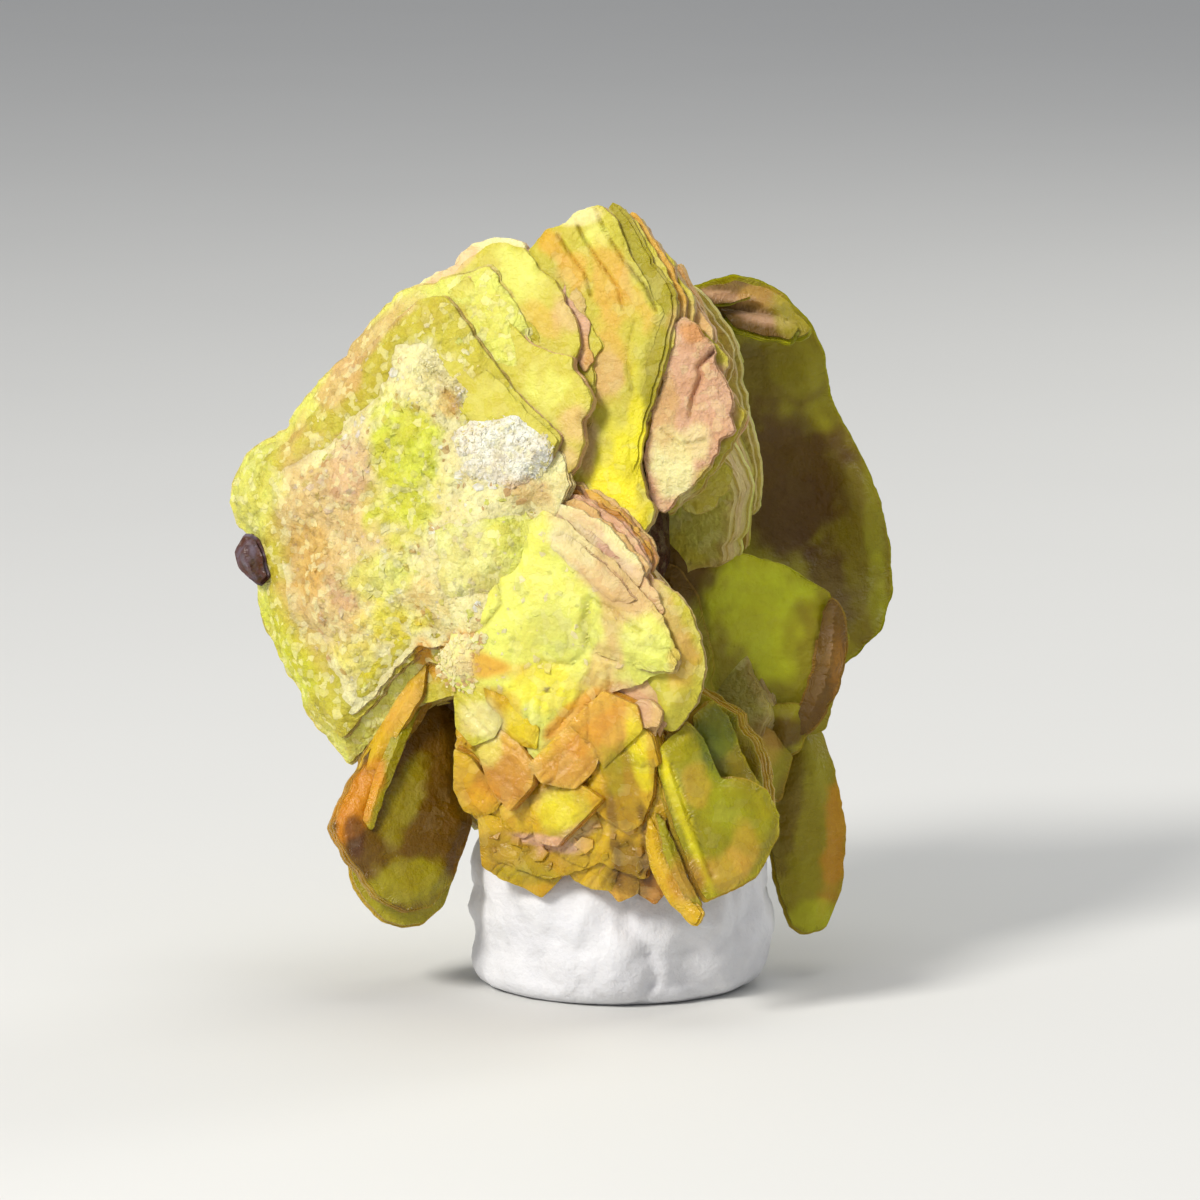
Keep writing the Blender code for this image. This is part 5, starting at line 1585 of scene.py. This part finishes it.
class SPECIMEN_OT_lower_leaves(bpy.types.Operator):
    """The leaf-shaped tablets at the lower right, and the body that they spring from"""

    bl_idname = "specimen.lower_leaves"
    bl_label = "Lower leaves"

    def execute(self, context):
        leaf = [
            (1.16, -3.0), (1.44, -2.7), (1.8, -2.44), (2.08, -2.76), (2.24, -3.12), (2.44, -3.56),
            (2.9, -3.56), (3.36, -3.8), (3.6, -4.3), (3.6, -4.68), (3.36, -5.14), (3.14, -5.52),
            (2.64, -5.8), (2.16, -6.0), (2.0, -5.76), (1.74, -5.14), (1.48, -4.46), (1.3, -3.78),
            (1.18, -3.36),
        ]
        narrow = [
            (1.12, -4.24), (1.28, -4.4), (1.52, -4.96), (1.76, -5.56), (2.04, -6.08), (1.92, -6.24),
            (1.68, -5.92), (1.44, -5.44), (1.24, -4.92),
        ]
        back_leaf = [
            (0.92, -4.24), (1.12, -4.6), (1.4, -5.32), (1.68, -5.88), (2.0, -6.24), (1.88, -6.5),
            (1.64, -6.36), (1.36, -6.0), (1.08, -5.6), (0.92, -5.0),
        ]
        far = [
            (1.88, -2.32), (2.28, -2.0), (2.6, -2.32), (2.8, -2.88), (3.04, -3.4), (3.32, -3.8),
            (2.8, -3.92), (2.32, -3.52), (2.0, -2.96),
        ]
        body = [
            (-2.2, -2.0), (0.8, -1.6), (1.9, -1.8), (2.8, -2.4), (3.2, -3.2), (3.3, -4.2), (2.9, -4.9),
            (1.8, -5.5), (-0.6, -5.2), (-2.0, -4.6),
        ]
        # A vein groove, darkened with painted shade.
        veins = (Groove([(1.45, -3.3), (1.75, -4.2), (2.25, -5.5)], 0.06, 0.06, 0.25),)
        stains = [
            Stain(1.55, -4.0, 0.13, 1.7, "bright", 0.9, 20),
            Stain(2.3, -3.1, 0.2, 0.6, "moss", 0.9, 25),
            Stain(2.4, -4.0, 0.5, 0.6, "lime", 0.25),
            Stain(2.3, -4.3, 1.0, 1.3, "moss", 0.3),
            Stain(1.9, -3.7, 0.25, 0.4, "ochre", 0.4),
            Stain(2.9, -5.0, 0.3, 0.5, "ochre", 0.4),
            Stain(2.9, -3.3, 0.5, 0.4, "bark", 0.4),
            Stain(2.3, -2.6, 0.4, 0.5, "moss", 0.8),
            Stain(2.6, -5.4, 0.4, 0.4, "ochre", 0.5),
            Stain(1.7, -5.6, 0.4, 0.5, "brick", 0.6),
        ]
        piece = Piece("lower_leaves", stains, first_seed=700)
        blade = {"cell": FINE, "fine": 0.08, "rag": 0.5, "soft": 0.08, "soft_width": 0.25}
        piece.sheet(leaf, -4.15, (0.22, 0.06), 0.4, tint="olive", grooves=veins, **blade)
        piece.sheet(narrow, -4.3, (0.05, 0.04), 0.3, tint="olive", **blade)
        piece.sheet(back_leaf, -4.2, (-0.35, 0.04), 0.45, tint="amber", **blade)
        piece.sheet(far, -3.6, (0.3, 0.1), 0.4, tint="olive", **blade)
        piece.sheet(body, -2.5, (-0.2, -0.05), 1.2, tint="olive", cell=MEDIUM, face="rough", fine=0.1)
        piece.sheet(shrunk(body, 0.96, (0.1, 0.1)), -1.5, (-0.1, 0.0), 1.7, tint="bark")
        crystal(piece, crystal_material(
            "Leaf crystal", mottle=0.6, fine=0.4, pale=0.03, facets=0.05, facet_size=2.0, grain=0.12,
            rough=(0.18, 0.4), edge_tint="ochre", glow=0.3,
        ))
        return {"FINISHED"}


class SPECIMEN_OT_right_body(bpy.types.Operator):
    """The broad sheet low on the right, with the pendant blade behind it"""

    bl_idname = "specimen.right_body"
    bl_label = "Right body"

    def execute(self, context):
        sheet = [
            (0.8, 1.5), (2.0, 1.1), (3.6, 0.7), (4.6, 0.1), (5.0, -0.8), (4.75, -1.7), (4.55, -2.6),
            (3.9, -2.8), (3.5, -3.3), (3.2, -3.7), (2.2, -3.6), (1.6, -2.8), (0.8, -1.5), (0.2, -0.4),
        ]
        folds = [
            (-0.62, "bark", [
                (4.68, 0.08), (4.88, -0.24), (4.96, -0.9), (4.76, -1.8), (4.4, -2.44), (4.04, -2.72),
                (3.84, -2.52), (4.12, -1.92), (4.32, -1.2), (4.44, -0.4),
            ]),
            (-1.3, "olive", [
                (1.0, 0.88), (1.56, 0.68), (1.96, 0.08), (2.24, -1.0), (2.32, -2.12), (2.08, -2.52),
                (1.8, -1.8), (1.52, -0.8), (1.16, 0.0),
            ]),
            (-1.1, "olive", [
                (2.0, -2.32), (2.76, -2.24), (3.44, -2.56), (3.88, -3.12), (3.6, -4.0), (2.96, -3.84),
                (2.44, -3.52),
            ]),
            (-0.8, "olive", [
                (3.4, -2.12), (4.0, -2.04), (4.24, -2.48), (4.0, -3.0), (3.6, -3.12), (3.28, -2.68),
            ]),
        ]
        pendant = [
            (3.7, -2.4), (4.4, -2.3), (4.75, -3.4), (5.0, -4.6), (4.9, -5.7), (4.6, -6.5), (4.25, -6.72),
            (3.9, -6.5), (3.65, -5.8), (3.5, -5.0), (3.4, -4.0),
        ]
        stains = [
            Stain(3.2, -0.2, 1.2, 1.4, "lime", 0.95),
            Stain(1.8, -0.4, 0.4, 0.9, "bark", 0.5, 20),
            Stain(4.75, -1.3, 0.15, 0.8, "brick", 0.4),
            Stain(4.4, -1.0, 0.2, 0.8, "bark", 0.6),
            Stain(3.7, -2.6, 0.35, 0.3, "bark", 0.8),
            Stain(4.8, -4.4, 0.3, 1.7, "iron", 0.6, -8),
            Stain(3.7, -4.4, 0.25, 1.3, "bark", 0.6, -6),
            Stain(4.3, -6.3, 0.5, 0.3, "lime", 0.6),
            # Painted shade: the dark hollow right of the crevice, below the tip of the smooth plates.
            Stain(1.5, 0.7, 0.8, 0.7, "bark", 0.95),
            Stain(2.9, -3.0, 0.6, 0.5, "ochre", 0.5),
        ]
        piece = Piece("right_body", stains, first_seed=800)
        thick = {"fine": 0.12, "soft": 0.2, "soft_width": 0.5, "rag": 0.6}
        piece.sheet(sheet, -0.4, (0.12, -0.12), 0.6, tint="olive", relief=1.5 * RELIEF, cell=FINE, **thick)
        piece.sheet(shrunk(sheet, 0.96), 0.15, (0.12, -0.12), 0.8, tint="olive")
        for depth, name, outline in folds:
            piece.sheet(outline, depth, (0.1, 0.1), 0.8, tint=name, cell=MEDIUM, **thick)
        piece.sheet(pendant, 0.7, (0.25, 0.06), 0.5, tint="olive", cell=MEDIUM, **thick)
        piece.sheet(
            shrunk(pendant, 0.88), 1.15, (0.25, 0.06), 0.4, tint="olive", cell=MEDIUM, two_sided=True,
        )
        crystal(piece, crystal_material(
            "Olive crystal", mottle=0.45, fine=0.3, pale=0.02, facets=0.05, facet_size=2.4, grain=0.15,
            size=1.6, edge_tint="ochre", edge_strength=0.4,
        ))
        return {"FINISHED"}


class SPECIMEN_OT_rear_blade(bpy.types.Operator):
    """The large spoon-shaped blade behind on the right"""

    bl_idname = "specimen.rear_blade"
    bl_label = "Rear blade"

    def execute(self, context):
        spoon = [
            (1.8, 6.2), (2.3, 6.4), (2.7, 6.5), (3.3, 6.35), (3.8, 6.05), (4.25, 5.5), (4.5, 4.9),
            (4.6, 4.1), (4.9, 3.5), (5.3, 2.8), (5.6, 2.0), (5.8, 1.1), (5.84, 0.2), (5.65, -0.55),
            (5.2, -1.0), (4.5, -1.6), (3.4, -1.8), (2.0, -1.2), (1.0, 0.4), (0.6, 2.2), (0.6, 4.0),
            (1.0, 5.4),
        ]
        hood = [
            (1.8, 6.2), (2.3, 6.4), (2.7, 6.5), (3.3, 6.35), (3.8, 6.05), (4.25, 5.5), (4.0, 5.35),
            (3.4, 5.55), (2.8, 5.65), (2.1, 5.7), (1.5, 5.7),
        ]
        folds = [
            (0.55, [(1.75, 6.15), (2.2, 6.38), (2.7, 6.42), (3.1, 6.2), (2.7, 6.05), (2.2, 6.0)]),
            (0.75, [(2.4, 5.95), (3.0, 5.85), (3.5, 5.8), (4.0, 5.55), (3.8, 5.3), (3.2, 5.4), (2.6, 5.6)]),
        ]
        stains = [
            # The bark and umber stains are partly brown film and partly painted shade: the blade lies behind
            # the front plates and in their shade.
            Stain(3.6, 2.6, 1.4, 1.6, "bark", 0.95),
            Stain(3.0, 4.3, 1.0, 0.7, "bark", 0.6),
            Stain(3.9, 4.6, 0.5, 0.6, "olive", 0.8),
            Stain(5.5, 0.9, 0.2, 2.0, "lime", 0.5, 5),
            Stain(5.0, 1.6, 0.8, 2.6, "bark", 0.45, 5),
            Stain(4.6, 0.4, 0.5, 0.9, "bark", 0.8),
            Stain(3.9, 1.9, 0.7, 0.6, "umber", 0.25),
            Stain(2.4, 6.1, 0.5, 0.12, "rose", 0.5, -10),
            Stain(3.4, 5.6, 0.5, 0.1, "rose", 0.5, -12),
            Stain(3.3, 6.1, 0.5, 0.2, "ochre", 0.4),
            Stain(3.9, 5.7, 0.4, 0.5, "olive", 0.7),
            Stain(2.0, 5.8, 0.5, 0.3, "bark", 0.6),
        ]
        piece = Piece("rear_blade", stains, first_seed=900)
        thick = {"soft": 0.2, "soft_width": 0.45, "rag": 0.5}
        piece.sheet(
            spoon, 2.7, (0.1, 0.03), 0.45, tint="olive", bow=SPOON_BOW, relief=1.4 * RELIEF, cell=FINE,
            fine=0.12, **thick,
        )
        piece.sheet(hood, 1.0, (0.05, 0.5), 0.5, tint="bark", cell=MEDIUM, fine=0.1, **thick)
        for depth, outline in folds:
            piece.sheet(outline, depth, (0.05, 0.5), 0.4, tint="bark", cell=MEDIUM, fine=0.08, **thick)
        piece.sheet(shrunk(spoon, 0.93), 3.1, (0.1, 0.03), 0.35, tint="olive", bow=SPOON_BOW, cell=MEDIUM)
        piece.sheet(
            shrunk(spoon, 0.8, (-0.1, 0.1)), 3.3, (0.1, 0.03), 0.4, tint="straw", bow=SPOON_BOW,
            cell=MEDIUM, two_sided=True,
        )
        crystal(piece, crystal_material(
            "Blade crystal", mottle=0.5, fine=0.3, pale=0.02, facets=0.04, facet_size=2.6, grain=0.15,
            size=1.8, edge_tint="lime", edge_strength=0.5,
        ))
        return {"FINISHED"}


class SPECIMEN_OT_lower_left_blade(bpy.types.Operator):
    """The thick blade at the lower left, ridged along its left side"""

    bl_idname = "specimen.lower_left_blade"
    bl_label = "Lower left blade"

    def execute(self, context):
        face = [
            (-3.5, -1.2), (-3.2, -1.5), (-2.9, -2.0), (-2.8, -2.8), (-2.75, -3.8), (-2.5, -4.4),
            (-2.65, -4.9), (-2.9, -5.6), (-3.3, -6.1), (-3.8, -6.2), (-4.4, -5.9), (-4.9, -5.2),
            (-5.3, -4.5), (-4.9, -3.6), (-4.4, -2.7), (-3.9, -1.8),
        ]
        wall = [
            (-3.5, -1.0), (-3.6, -1.9), (-4.1, -2.7), (-4.5, -3.6), (-4.8, -4.4), (-4.85, -5.1),
            (-5.1, -5.0), (-5.36, -4.55), (-5.3, -4.15), (-5.0, -3.5), (-4.5, -2.6), (-4.0, -1.8),
        ]
        ridge = [
            (-3.45, -1.3), (-3.5, -2.0), (-3.9, -2.9), (-4.25, -3.8), (-4.55, -4.6), (-4.75, -4.4),
            (-4.5, -3.5), (-4.1, -2.6), (-3.7, -1.8),
        ]
        tip = [
            (-5.0, -5.0), (-4.0, -4.9), (-3.0, -4.8), (-2.9, -5.5), (-3.1, -6.1), (-3.5, -6.45),
            (-3.9, -6.52), (-4.3, -6.4), (-4.6, -6.1), (-4.9, -5.6),
        ]
        stains = [
            # Partly painted shade: the blade's face is darkened where it lies in shade, turned away from the
            # light.
            Stain(-3.3, -3.2, 0.5, 1.5, "bark", 0.9),
            Stain(-4.75, -3.9, 0.3, 1.3, "iron", 0.8, -25),
            Stain(-4.0, -4.1, 0.35, 1.0, "olive", 0.6, -20),
            Stain(-3.9, -5.7, 0.8, 0.5, "olive", 0.8),
            Stain(-4.0, -2.3, 0.25, 0.6, "ochre", 0.7, -30),
            Stain(-4.9, -4.8, 0.2, 0.4, "umber", 0.7),
            Stain(-2.8, -5.0, 0.3, 0.5, "bark", 0.6),
        ]
        piece = Piece("lower_left_blade", stains, first_seed=1000)
        thick = {"cell": FINE, "fine": 0.1, "rag": 0.5, "soft": 0.12, "soft_width": 0.35}
        # The face is tinted bark: partly brown film, partly painted shade.
        piece.sheet(face, -1.7, (0.35, 0.12), 0.6, tint="bark", **thick)
        piece.sheet(
            shrunk(face, 0.9, (0.1, 0.2)), -1.15, (0.35, 0.12), 0.6, tint="olive", cell=MEDIUM,
            two_sided=True,
        )
        piece.sheet(wall, -1.95, (-0.5, 0.1), 0.9, tint="amber", **thick)
        piece.sheet(ridge, -2.1, (0.1, 0.1), 0.6, tint="olive", **thick)
        piece.sheet(tip, -1.35, (0.1, 0.06), 0.7, tint="olive", **thick)
        crystal(piece, crystal_material(
            "Brown crystal", mottle=0.5, fine=0.3, pale=0.02, facets=0.05, facet_size=2.2, grain=0.15,
            rough=(0.2, 0.45), edge_tint="ochre", glow=0.3,
        ))
        return {"FINISHED"}


class SPECIMEN_OT_rear_fans(bpy.types.Operator):
    """The fans of ragged tablets at the back and the sides"""

    bl_idname = "specimen.rear_fans"
    bl_label = "Rear fans"

    def execute(self, context):
        # Each book: centre, facing, half size, thicknesses and twist.
        books = [
            ((-3.3, 1.7, 1.9), (-0.45, 0.12, 0.88), (2.1, 2.7), (0.3, 0.35, 0.35, 0.5, 0.7), 12),
            ((-1.2, 4.3, 1.7), (-0.08, 0.38, 0.92), (2.1, 2.0), (0.3, 0.35, 0.4, 0.6), -8),
            ((-0.3, 1.2, 3.3), (0.1, 0.05, 1.0), (2.1, 2.5), (0.3, 0.35, 0.35, 0.5, 0.7), 20),
            ((-1.9, -2.0, 2.0), (-0.2, -0.4, 0.9), (2.2, 2.1), (0.3, 0.35, 0.5, 0.8), 30),
            ((1.7, -3.2, 1.7), (0.3, -0.3, 0.9), (1.7, 1.6), (0.3, 0.4, 0.5, 0.8), -15),
            ((1.6, 3.8, 1.0), (0.45, 0.2, 0.85), (1.4, 2.3), (0.3, 0.4, 0.6, 0.8), 10),
        ]
        warm = ("lemon", "straw", "ochre")
        fans = [book(*values, seed, warm) for seed, values in enumerate(books, 1)]
        # Each single tablet: centre, facing, half size, thickness and twist.
        singles = [
            ((-2.5, 3.4, 2.6), (0.75, 0.3, 0.6), (1.3, 1.9), 0.4, 25),
            ((-5.0, -0.7, 1.0), (-0.2, -0.75, 0.6), (1.7, 1.2), 0.4, 10),
            ((0.9, -1.0, 2.9), (0.7, -0.2, 0.65), (1.5, 1.9), 0.4, 35),
            ((-2.3, -0.2, 2.8), (-0.65, -0.25, 0.7), (1.4, 1.8), 0.4, -30),
            ((0.1, 3.5, 2.7), (0.35, 0.8, 0.5), (1.5, 1.1), 0.4, 5),
            ((-3.6, 4.0, 0.5), (-0.55, 0.6, 0.55), (1.1, 0.9), 0.35, 15),
        ]
        stains = [
            Stain(-3.5, 2.5, 1.2, 1.0, "ochre", 0.6),
            Stain(-4.4, 0.6, 1.0, 1.2, "tan", 0.6),
            Stain(0.4, 1.8, 0.9, 0.9, "lime", 0.5),
            Stain(-0.9, 0.4, 0.8, 1.2, "cream", 0.7),
            Stain(-1.5, -2.5, 1.4, 0.8, "rose", 0.6),
            Stain(1.0, 4.5, 1.0, 0.8, "tan", 0.6),
            Stain(-1.2, 4.6, 1.2, 0.8, "lemon", 0.6),
            Stain(2.0, -3.0, 1.0, 0.8, "amber", 0.7),
            Stain(1.6, 0.2, 0.6, 1.0, "bright", 0.5),
            Stain(2.9, -1.9, 0.8, 0.8, "bark", 0.6),
        ]
        piece = Piece("rear_fans", stains, first_seed=1100)
        light = ("straw", "lemon", "straw")
        for fan in fans:
            for tablet in fan:
                piece.add(tablet)
            front = fan[0]
            piece.scatter(front, shrunk(front.outline, 0.9), 220, (0.04, 0.3), 7.0, light, 0.2, 0.8, seed=7)
        for seed, values in enumerate(singles, 71):
            piece.add(Tablet(*values, seed, cell=MEDIUM, fine=0.08, soft=0.06))
        crystal(piece, crystal_material(
            "Rear crystal", mottle=0.5, fine=0.4, pale=0.3, facets=0.1, facet_size=1.6, grain=0.25,
        ))
        return {"FINISHED"}


# The heart on the display, in millimetres.
HEART_HALF_SIZE = (3.0, 3.7, 2.5)
HEART_MIDDLE = (-1.6, 1.0, -0.6)


class SPECIMEN_OT_heart(bpy.types.Operator):
    """The dark middle in which the crystals root, seen down the crevices; its dark colour is painted shade
    """

    bl_idname = "specimen.heart"
    bl_label = "Heart"

    def execute(self, context):
        bm = bmesh.new()
        bmesh.ops.create_icosphere(bm, subdivisions=5, radius=1.0)
        bmesh.ops.scale(bm, vec=HEART_HALF_SIZE, verts=bm.verts)
        bmesh.ops.translate(bm, vec=HEART_MIDDLE, verts=bm.verts)
        for vert in bm.verts:
            vert.co += vert.normal * 0.12 * noise.noise(vert.co * 1.4)
        points, faces = arrays_of(bm)
        plain = np.zeros(len(points))
        piece = Piece("heart")
        # Tinted umber all over: painted shade deep in the crevices.
        piece.collect(points, faces, plain, plain, np.tile(tint("umber"), (len(points), 1)))
        crystal(piece, crystal_material("Crevice crystal", mottle=0.6, pale=0.1, grain=0.5))
        return {"FINISHED"}


class SPECIMEN_OT_dark_grain(bpy.types.Operator):
    """The small dark grain in a notch of the fan's rim"""

    bl_idname = "specimen.dark_grain"
    bl_label = "Dark grain"

    def execute(self, context):
        outline = [
            (-7.2, 1.3), (-7.0, 1.2), (-6.85, 0.9), (-6.75, 0.5), (-6.9, 0.3), (-7.1, 0.45), (-7.3, 0.65),
            (-7.38, 0.95),
        ]
        finish = {"cell": FINEST, "rag": 0.4, "face": "flat", "fine": 0.08, "soft": 0.3, "soft_width": 0.3}
        piece = Piece("dark_grain", first_seed=1200)
        piece.sheet(outline, -1.3, (-0.3, 0.0), 1.0, tint="umber", **finish)
        crystal(piece, grain_material())
        return {"FINISHED"}


# The outline of the putty from its foot to its top, as shares of its radius and its height.
PUTTY_PROFILE = (
    (0.0, 0.0), (0.80, 0.0), (0.88, 0.02), (0.935, 0.06), (0.965, 0.12), (0.985, 0.22), (1.0, 0.36),
    (1.0, 0.5), (0.985, 0.64), (0.95, 0.76), (0.88, 0.86), (0.74, 0.94), (0.45, 0.985), (0.0, 1.0),
)
PUTTY_SIDES = 72
PUTTY_INSET = 0.00003

# Where its crease and its fold run, as an angle in radians and a height in millimetres, and their widths.
CREASE_ANGLE = -1.42
CREASE_WIDTH = 0.05
FOLD_HEIGHT = 1.5
FOLD_WIDTH = 0.14

# Below this height, in millimetres, the dents fade out towards the flat foot.
DENT_FADE = 0.4


class SPECIMEN_OT_putty(bpy.types.Operator):
    """The pellet of white mounting putty"""

    bl_idname = "specimen.putty"
    bl_label = "Mounting putty"

    def execute(self, context):
        low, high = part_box("mounting_putty")
        radius = (high[0] - low[0]) / 2.0 - PUTTY_INSET
        height = high[2]
        bm = bmesh.new()
        verts = [bm.verts.new((radius * reach, 0.0, height * level)) for reach, level in PUTTY_PROFILE]
        for first, second in zip(verts, verts[1:]):
            bm.edges.new((first, second))
        bmesh.ops.spin(bm, geom=bm.verts[:] + bm.edges[:], cent=(0, 0, 0), axis=(0, 0, 1),
                       angle=2.0 * math.pi, steps=PUTTY_SIDES, use_merge=True)
        bmesh.ops.remove_doubles(bm, verts=bm.verts, dist=1e-7)
        bmesh.ops.subdivide_edges(bm, edges=bm.edges, cuts=2, use_grid_fill=True, smooth=1.0)
        bmesh.ops.recalc_face_normals(bm, faces=bm.faces)
        dents = settings().putty.dents
        for vert in bm.verts:
            spot = vert.co / MM
            angle = math.atan2(spot.y, spot.x)
            slow = noise.noise(spot * 0.5)
            mid = noise.noise(spot * 1.3 + Vector((5.0, 0.0, 0.0)))
            quick = noise.noise(spot * 4.0)
            bend = 0.10 * math.sin(2.4 * spot.z)
            crease = math.exp(-((angle - CREASE_ANGLE - bend) / CREASE_WIDTH) ** 2)
            climb = spot.z - FOLD_HEIGHT - 0.5 * math.sin(2.0 * angle + 1.0) - 0.3 * mid
            fold = math.exp(-(climb / FOLD_WIDTH) ** 2)
            above = min(1.0, spot.z / DENT_FADE)
            sunk = dents * (0.1 + 0.8 * slow + 0.55 * mid + 0.16 * quick + 0.5 * crease + 0.25 * fold)
            vert.co -= vert.normal * above * sunk
            vert.co.z = max(0.0, vert.co.z)
        mesh = bpy.data.meshes.new("putty_pellet")
        bm.to_mesh(mesh)
        bm.free()
        mesh.shade_smooth()
        mesh.materials.append(putty_material())
        made = linked("putty_pellet", mesh)
        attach(made, "root")
        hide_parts("mounting_putty")
        return {"FINISHED"}


# The stage, in metres. Each lamp: name, place, width, share of the key light's power, and colour.
FLOOR_RADIUS = 2.0
LAMP_AIM = Vector((0.0, 0.0, 0.008))
LAMPS = (
    ("Key light", (-0.10, -0.11, 0.12), 0.05, 1.0, (1.0, 0.97, 0.92)),
    ("Top light", (0.02, 0.02, 0.17), 0.12, 0.25, (1.0, 1.0, 1.0)),
    ("Rim light", (0.11, 0.10, 0.08), 0.06, 0.2, (1.0, 0.98, 0.9)),
)
SKY_COLOUR = (0.93, 0.95, 1.0, 1.0)


class SPECIMEN_OT_stage(bpy.types.Operator):
    """The floor, the studio lights and the camera"""

    bl_idname = "specimen.stage"
    bl_label = "Stage"

    def execute(self, context):
        scene = bpy.context.scene
        look = settings().stage
        bm = bmesh.new()
        bmesh.ops.create_circle(bm, cap_ends=True, segments=96, radius=FLOOR_RADIUS)
        mesh = bpy.data.meshes.new("floor")
        bm.to_mesh(mesh)
        bm.free()
        mesh.materials.append(floor_material())
        floor = linked("floor", mesh)

        for name, place, width, share, colour in LAMPS:
            self.lamp(name, Vector(place), width, share * look.key_power, colour)

        world = bpy.data.worlds.new("Studio")
        world.use_nodes = True
        background = world.node_tree.nodes["Background"]
        background.inputs["Color"].default_value = SKY_COLOUR
        background.inputs["Strength"].default_value = look.sky
        scene.world = world

        data = bpy.data.cameras.new("Camera")
        data.sensor_width = SENSOR_WIDTH
        data.lens = SENSOR_WIDTH * VIEW_DISTANCE / VIEW_WIDTH
        data.clip_start = 0.001
        data.clip_end = 10.0
        camera = linked("Camera", data)
        camera.location = (DISPLAY_MIDDLE - AWAY * VIEW_DISTANCE) * MM
        camera.rotation_euler = AWAY.to_track_quat("-Z", "Y").to_euler()
        scene.camera = camera
        scene.view_settings.view_transform = "Standard"
        return {"FINISHED"}

    def lamp(self, name, spot, size, power, colour):
        data = bpy.data.lights.new(name, "AREA")
        data.shape = "DISK"
        data.size = size
        data.energy = power
        data.color = colour
        made = linked(name, data)
        made.location = spot
        made.rotation_euler = (LAMP_AIM - spot).to_track_quat("-Z", "Y").to_euler()


OPERATORS = (
    SPECIMEN_OT_front_left_fan,
    SPECIMEN_OT_upper_plates,
    SPECIMEN_OT_upper_stack,
    SPECIMEN_OT_rose_plate,
    SPECIMEN_OT_lower_fan,
    SPECIMEN_OT_lower_tablets,
    SPECIMEN_OT_lower_leaves,
    SPECIMEN_OT_right_body,
    SPECIMEN_OT_rear_blade,
    SPECIMEN_OT_lower_left_blade,
    SPECIMEN_OT_rear_fans,
    SPECIMEN_OT_heart,
    SPECIMEN_OT_dark_grain,
    SPECIMEN_OT_putty,
    SPECIMEN_OT_stage,
)


class SPECIMEN_PT_panel(bpy.types.Panel):
    """Lists the pieces of the specimen and their settings"""

    bl_idname = "SPECIMEN_PT_panel"
    bl_label = "Uranocircite rosette"
    bl_space_type = "VIEW_3D"
    bl_region_type = "UI"
    bl_category = "Specimen"

    def draw(self, context):
        look = settings()
        for group in (look.colours, look.shape, look.putty, look.stage):
            box = self.layout.box()
            for name in group.bl_rna.properties.keys():
                if name not in ("rna_type", "name"):
                    box.prop(group, name)
        for operator in OPERATORS:
            self.layout.operator(operator.bl_idname)


CLASSES = (
    CrystalColours,
    CrystalShape,
    PuttyLook,
    StageLook,
    SpecimenSettings,
    *OPERATORS,
    SPECIMEN_PT_panel,
)


def register():
    for item in CLASSES:
        bpy.utils.register_class(item)
    bpy.types.Scene.specimen = bpy.props.PointerProperty(type=SpecimenSettings)


def unregister():
    del bpy.types.Scene.specimen
    for item in reversed(CLASSES):
        bpy.utils.unregister_class(item)


def main():
    register()
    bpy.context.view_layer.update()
    for operator in OPERATORS:
        section, name = operator.bl_idname.split(".")
        getattr(getattr(bpy.ops, section), name)()


if __name__ == "__main__":
    main()
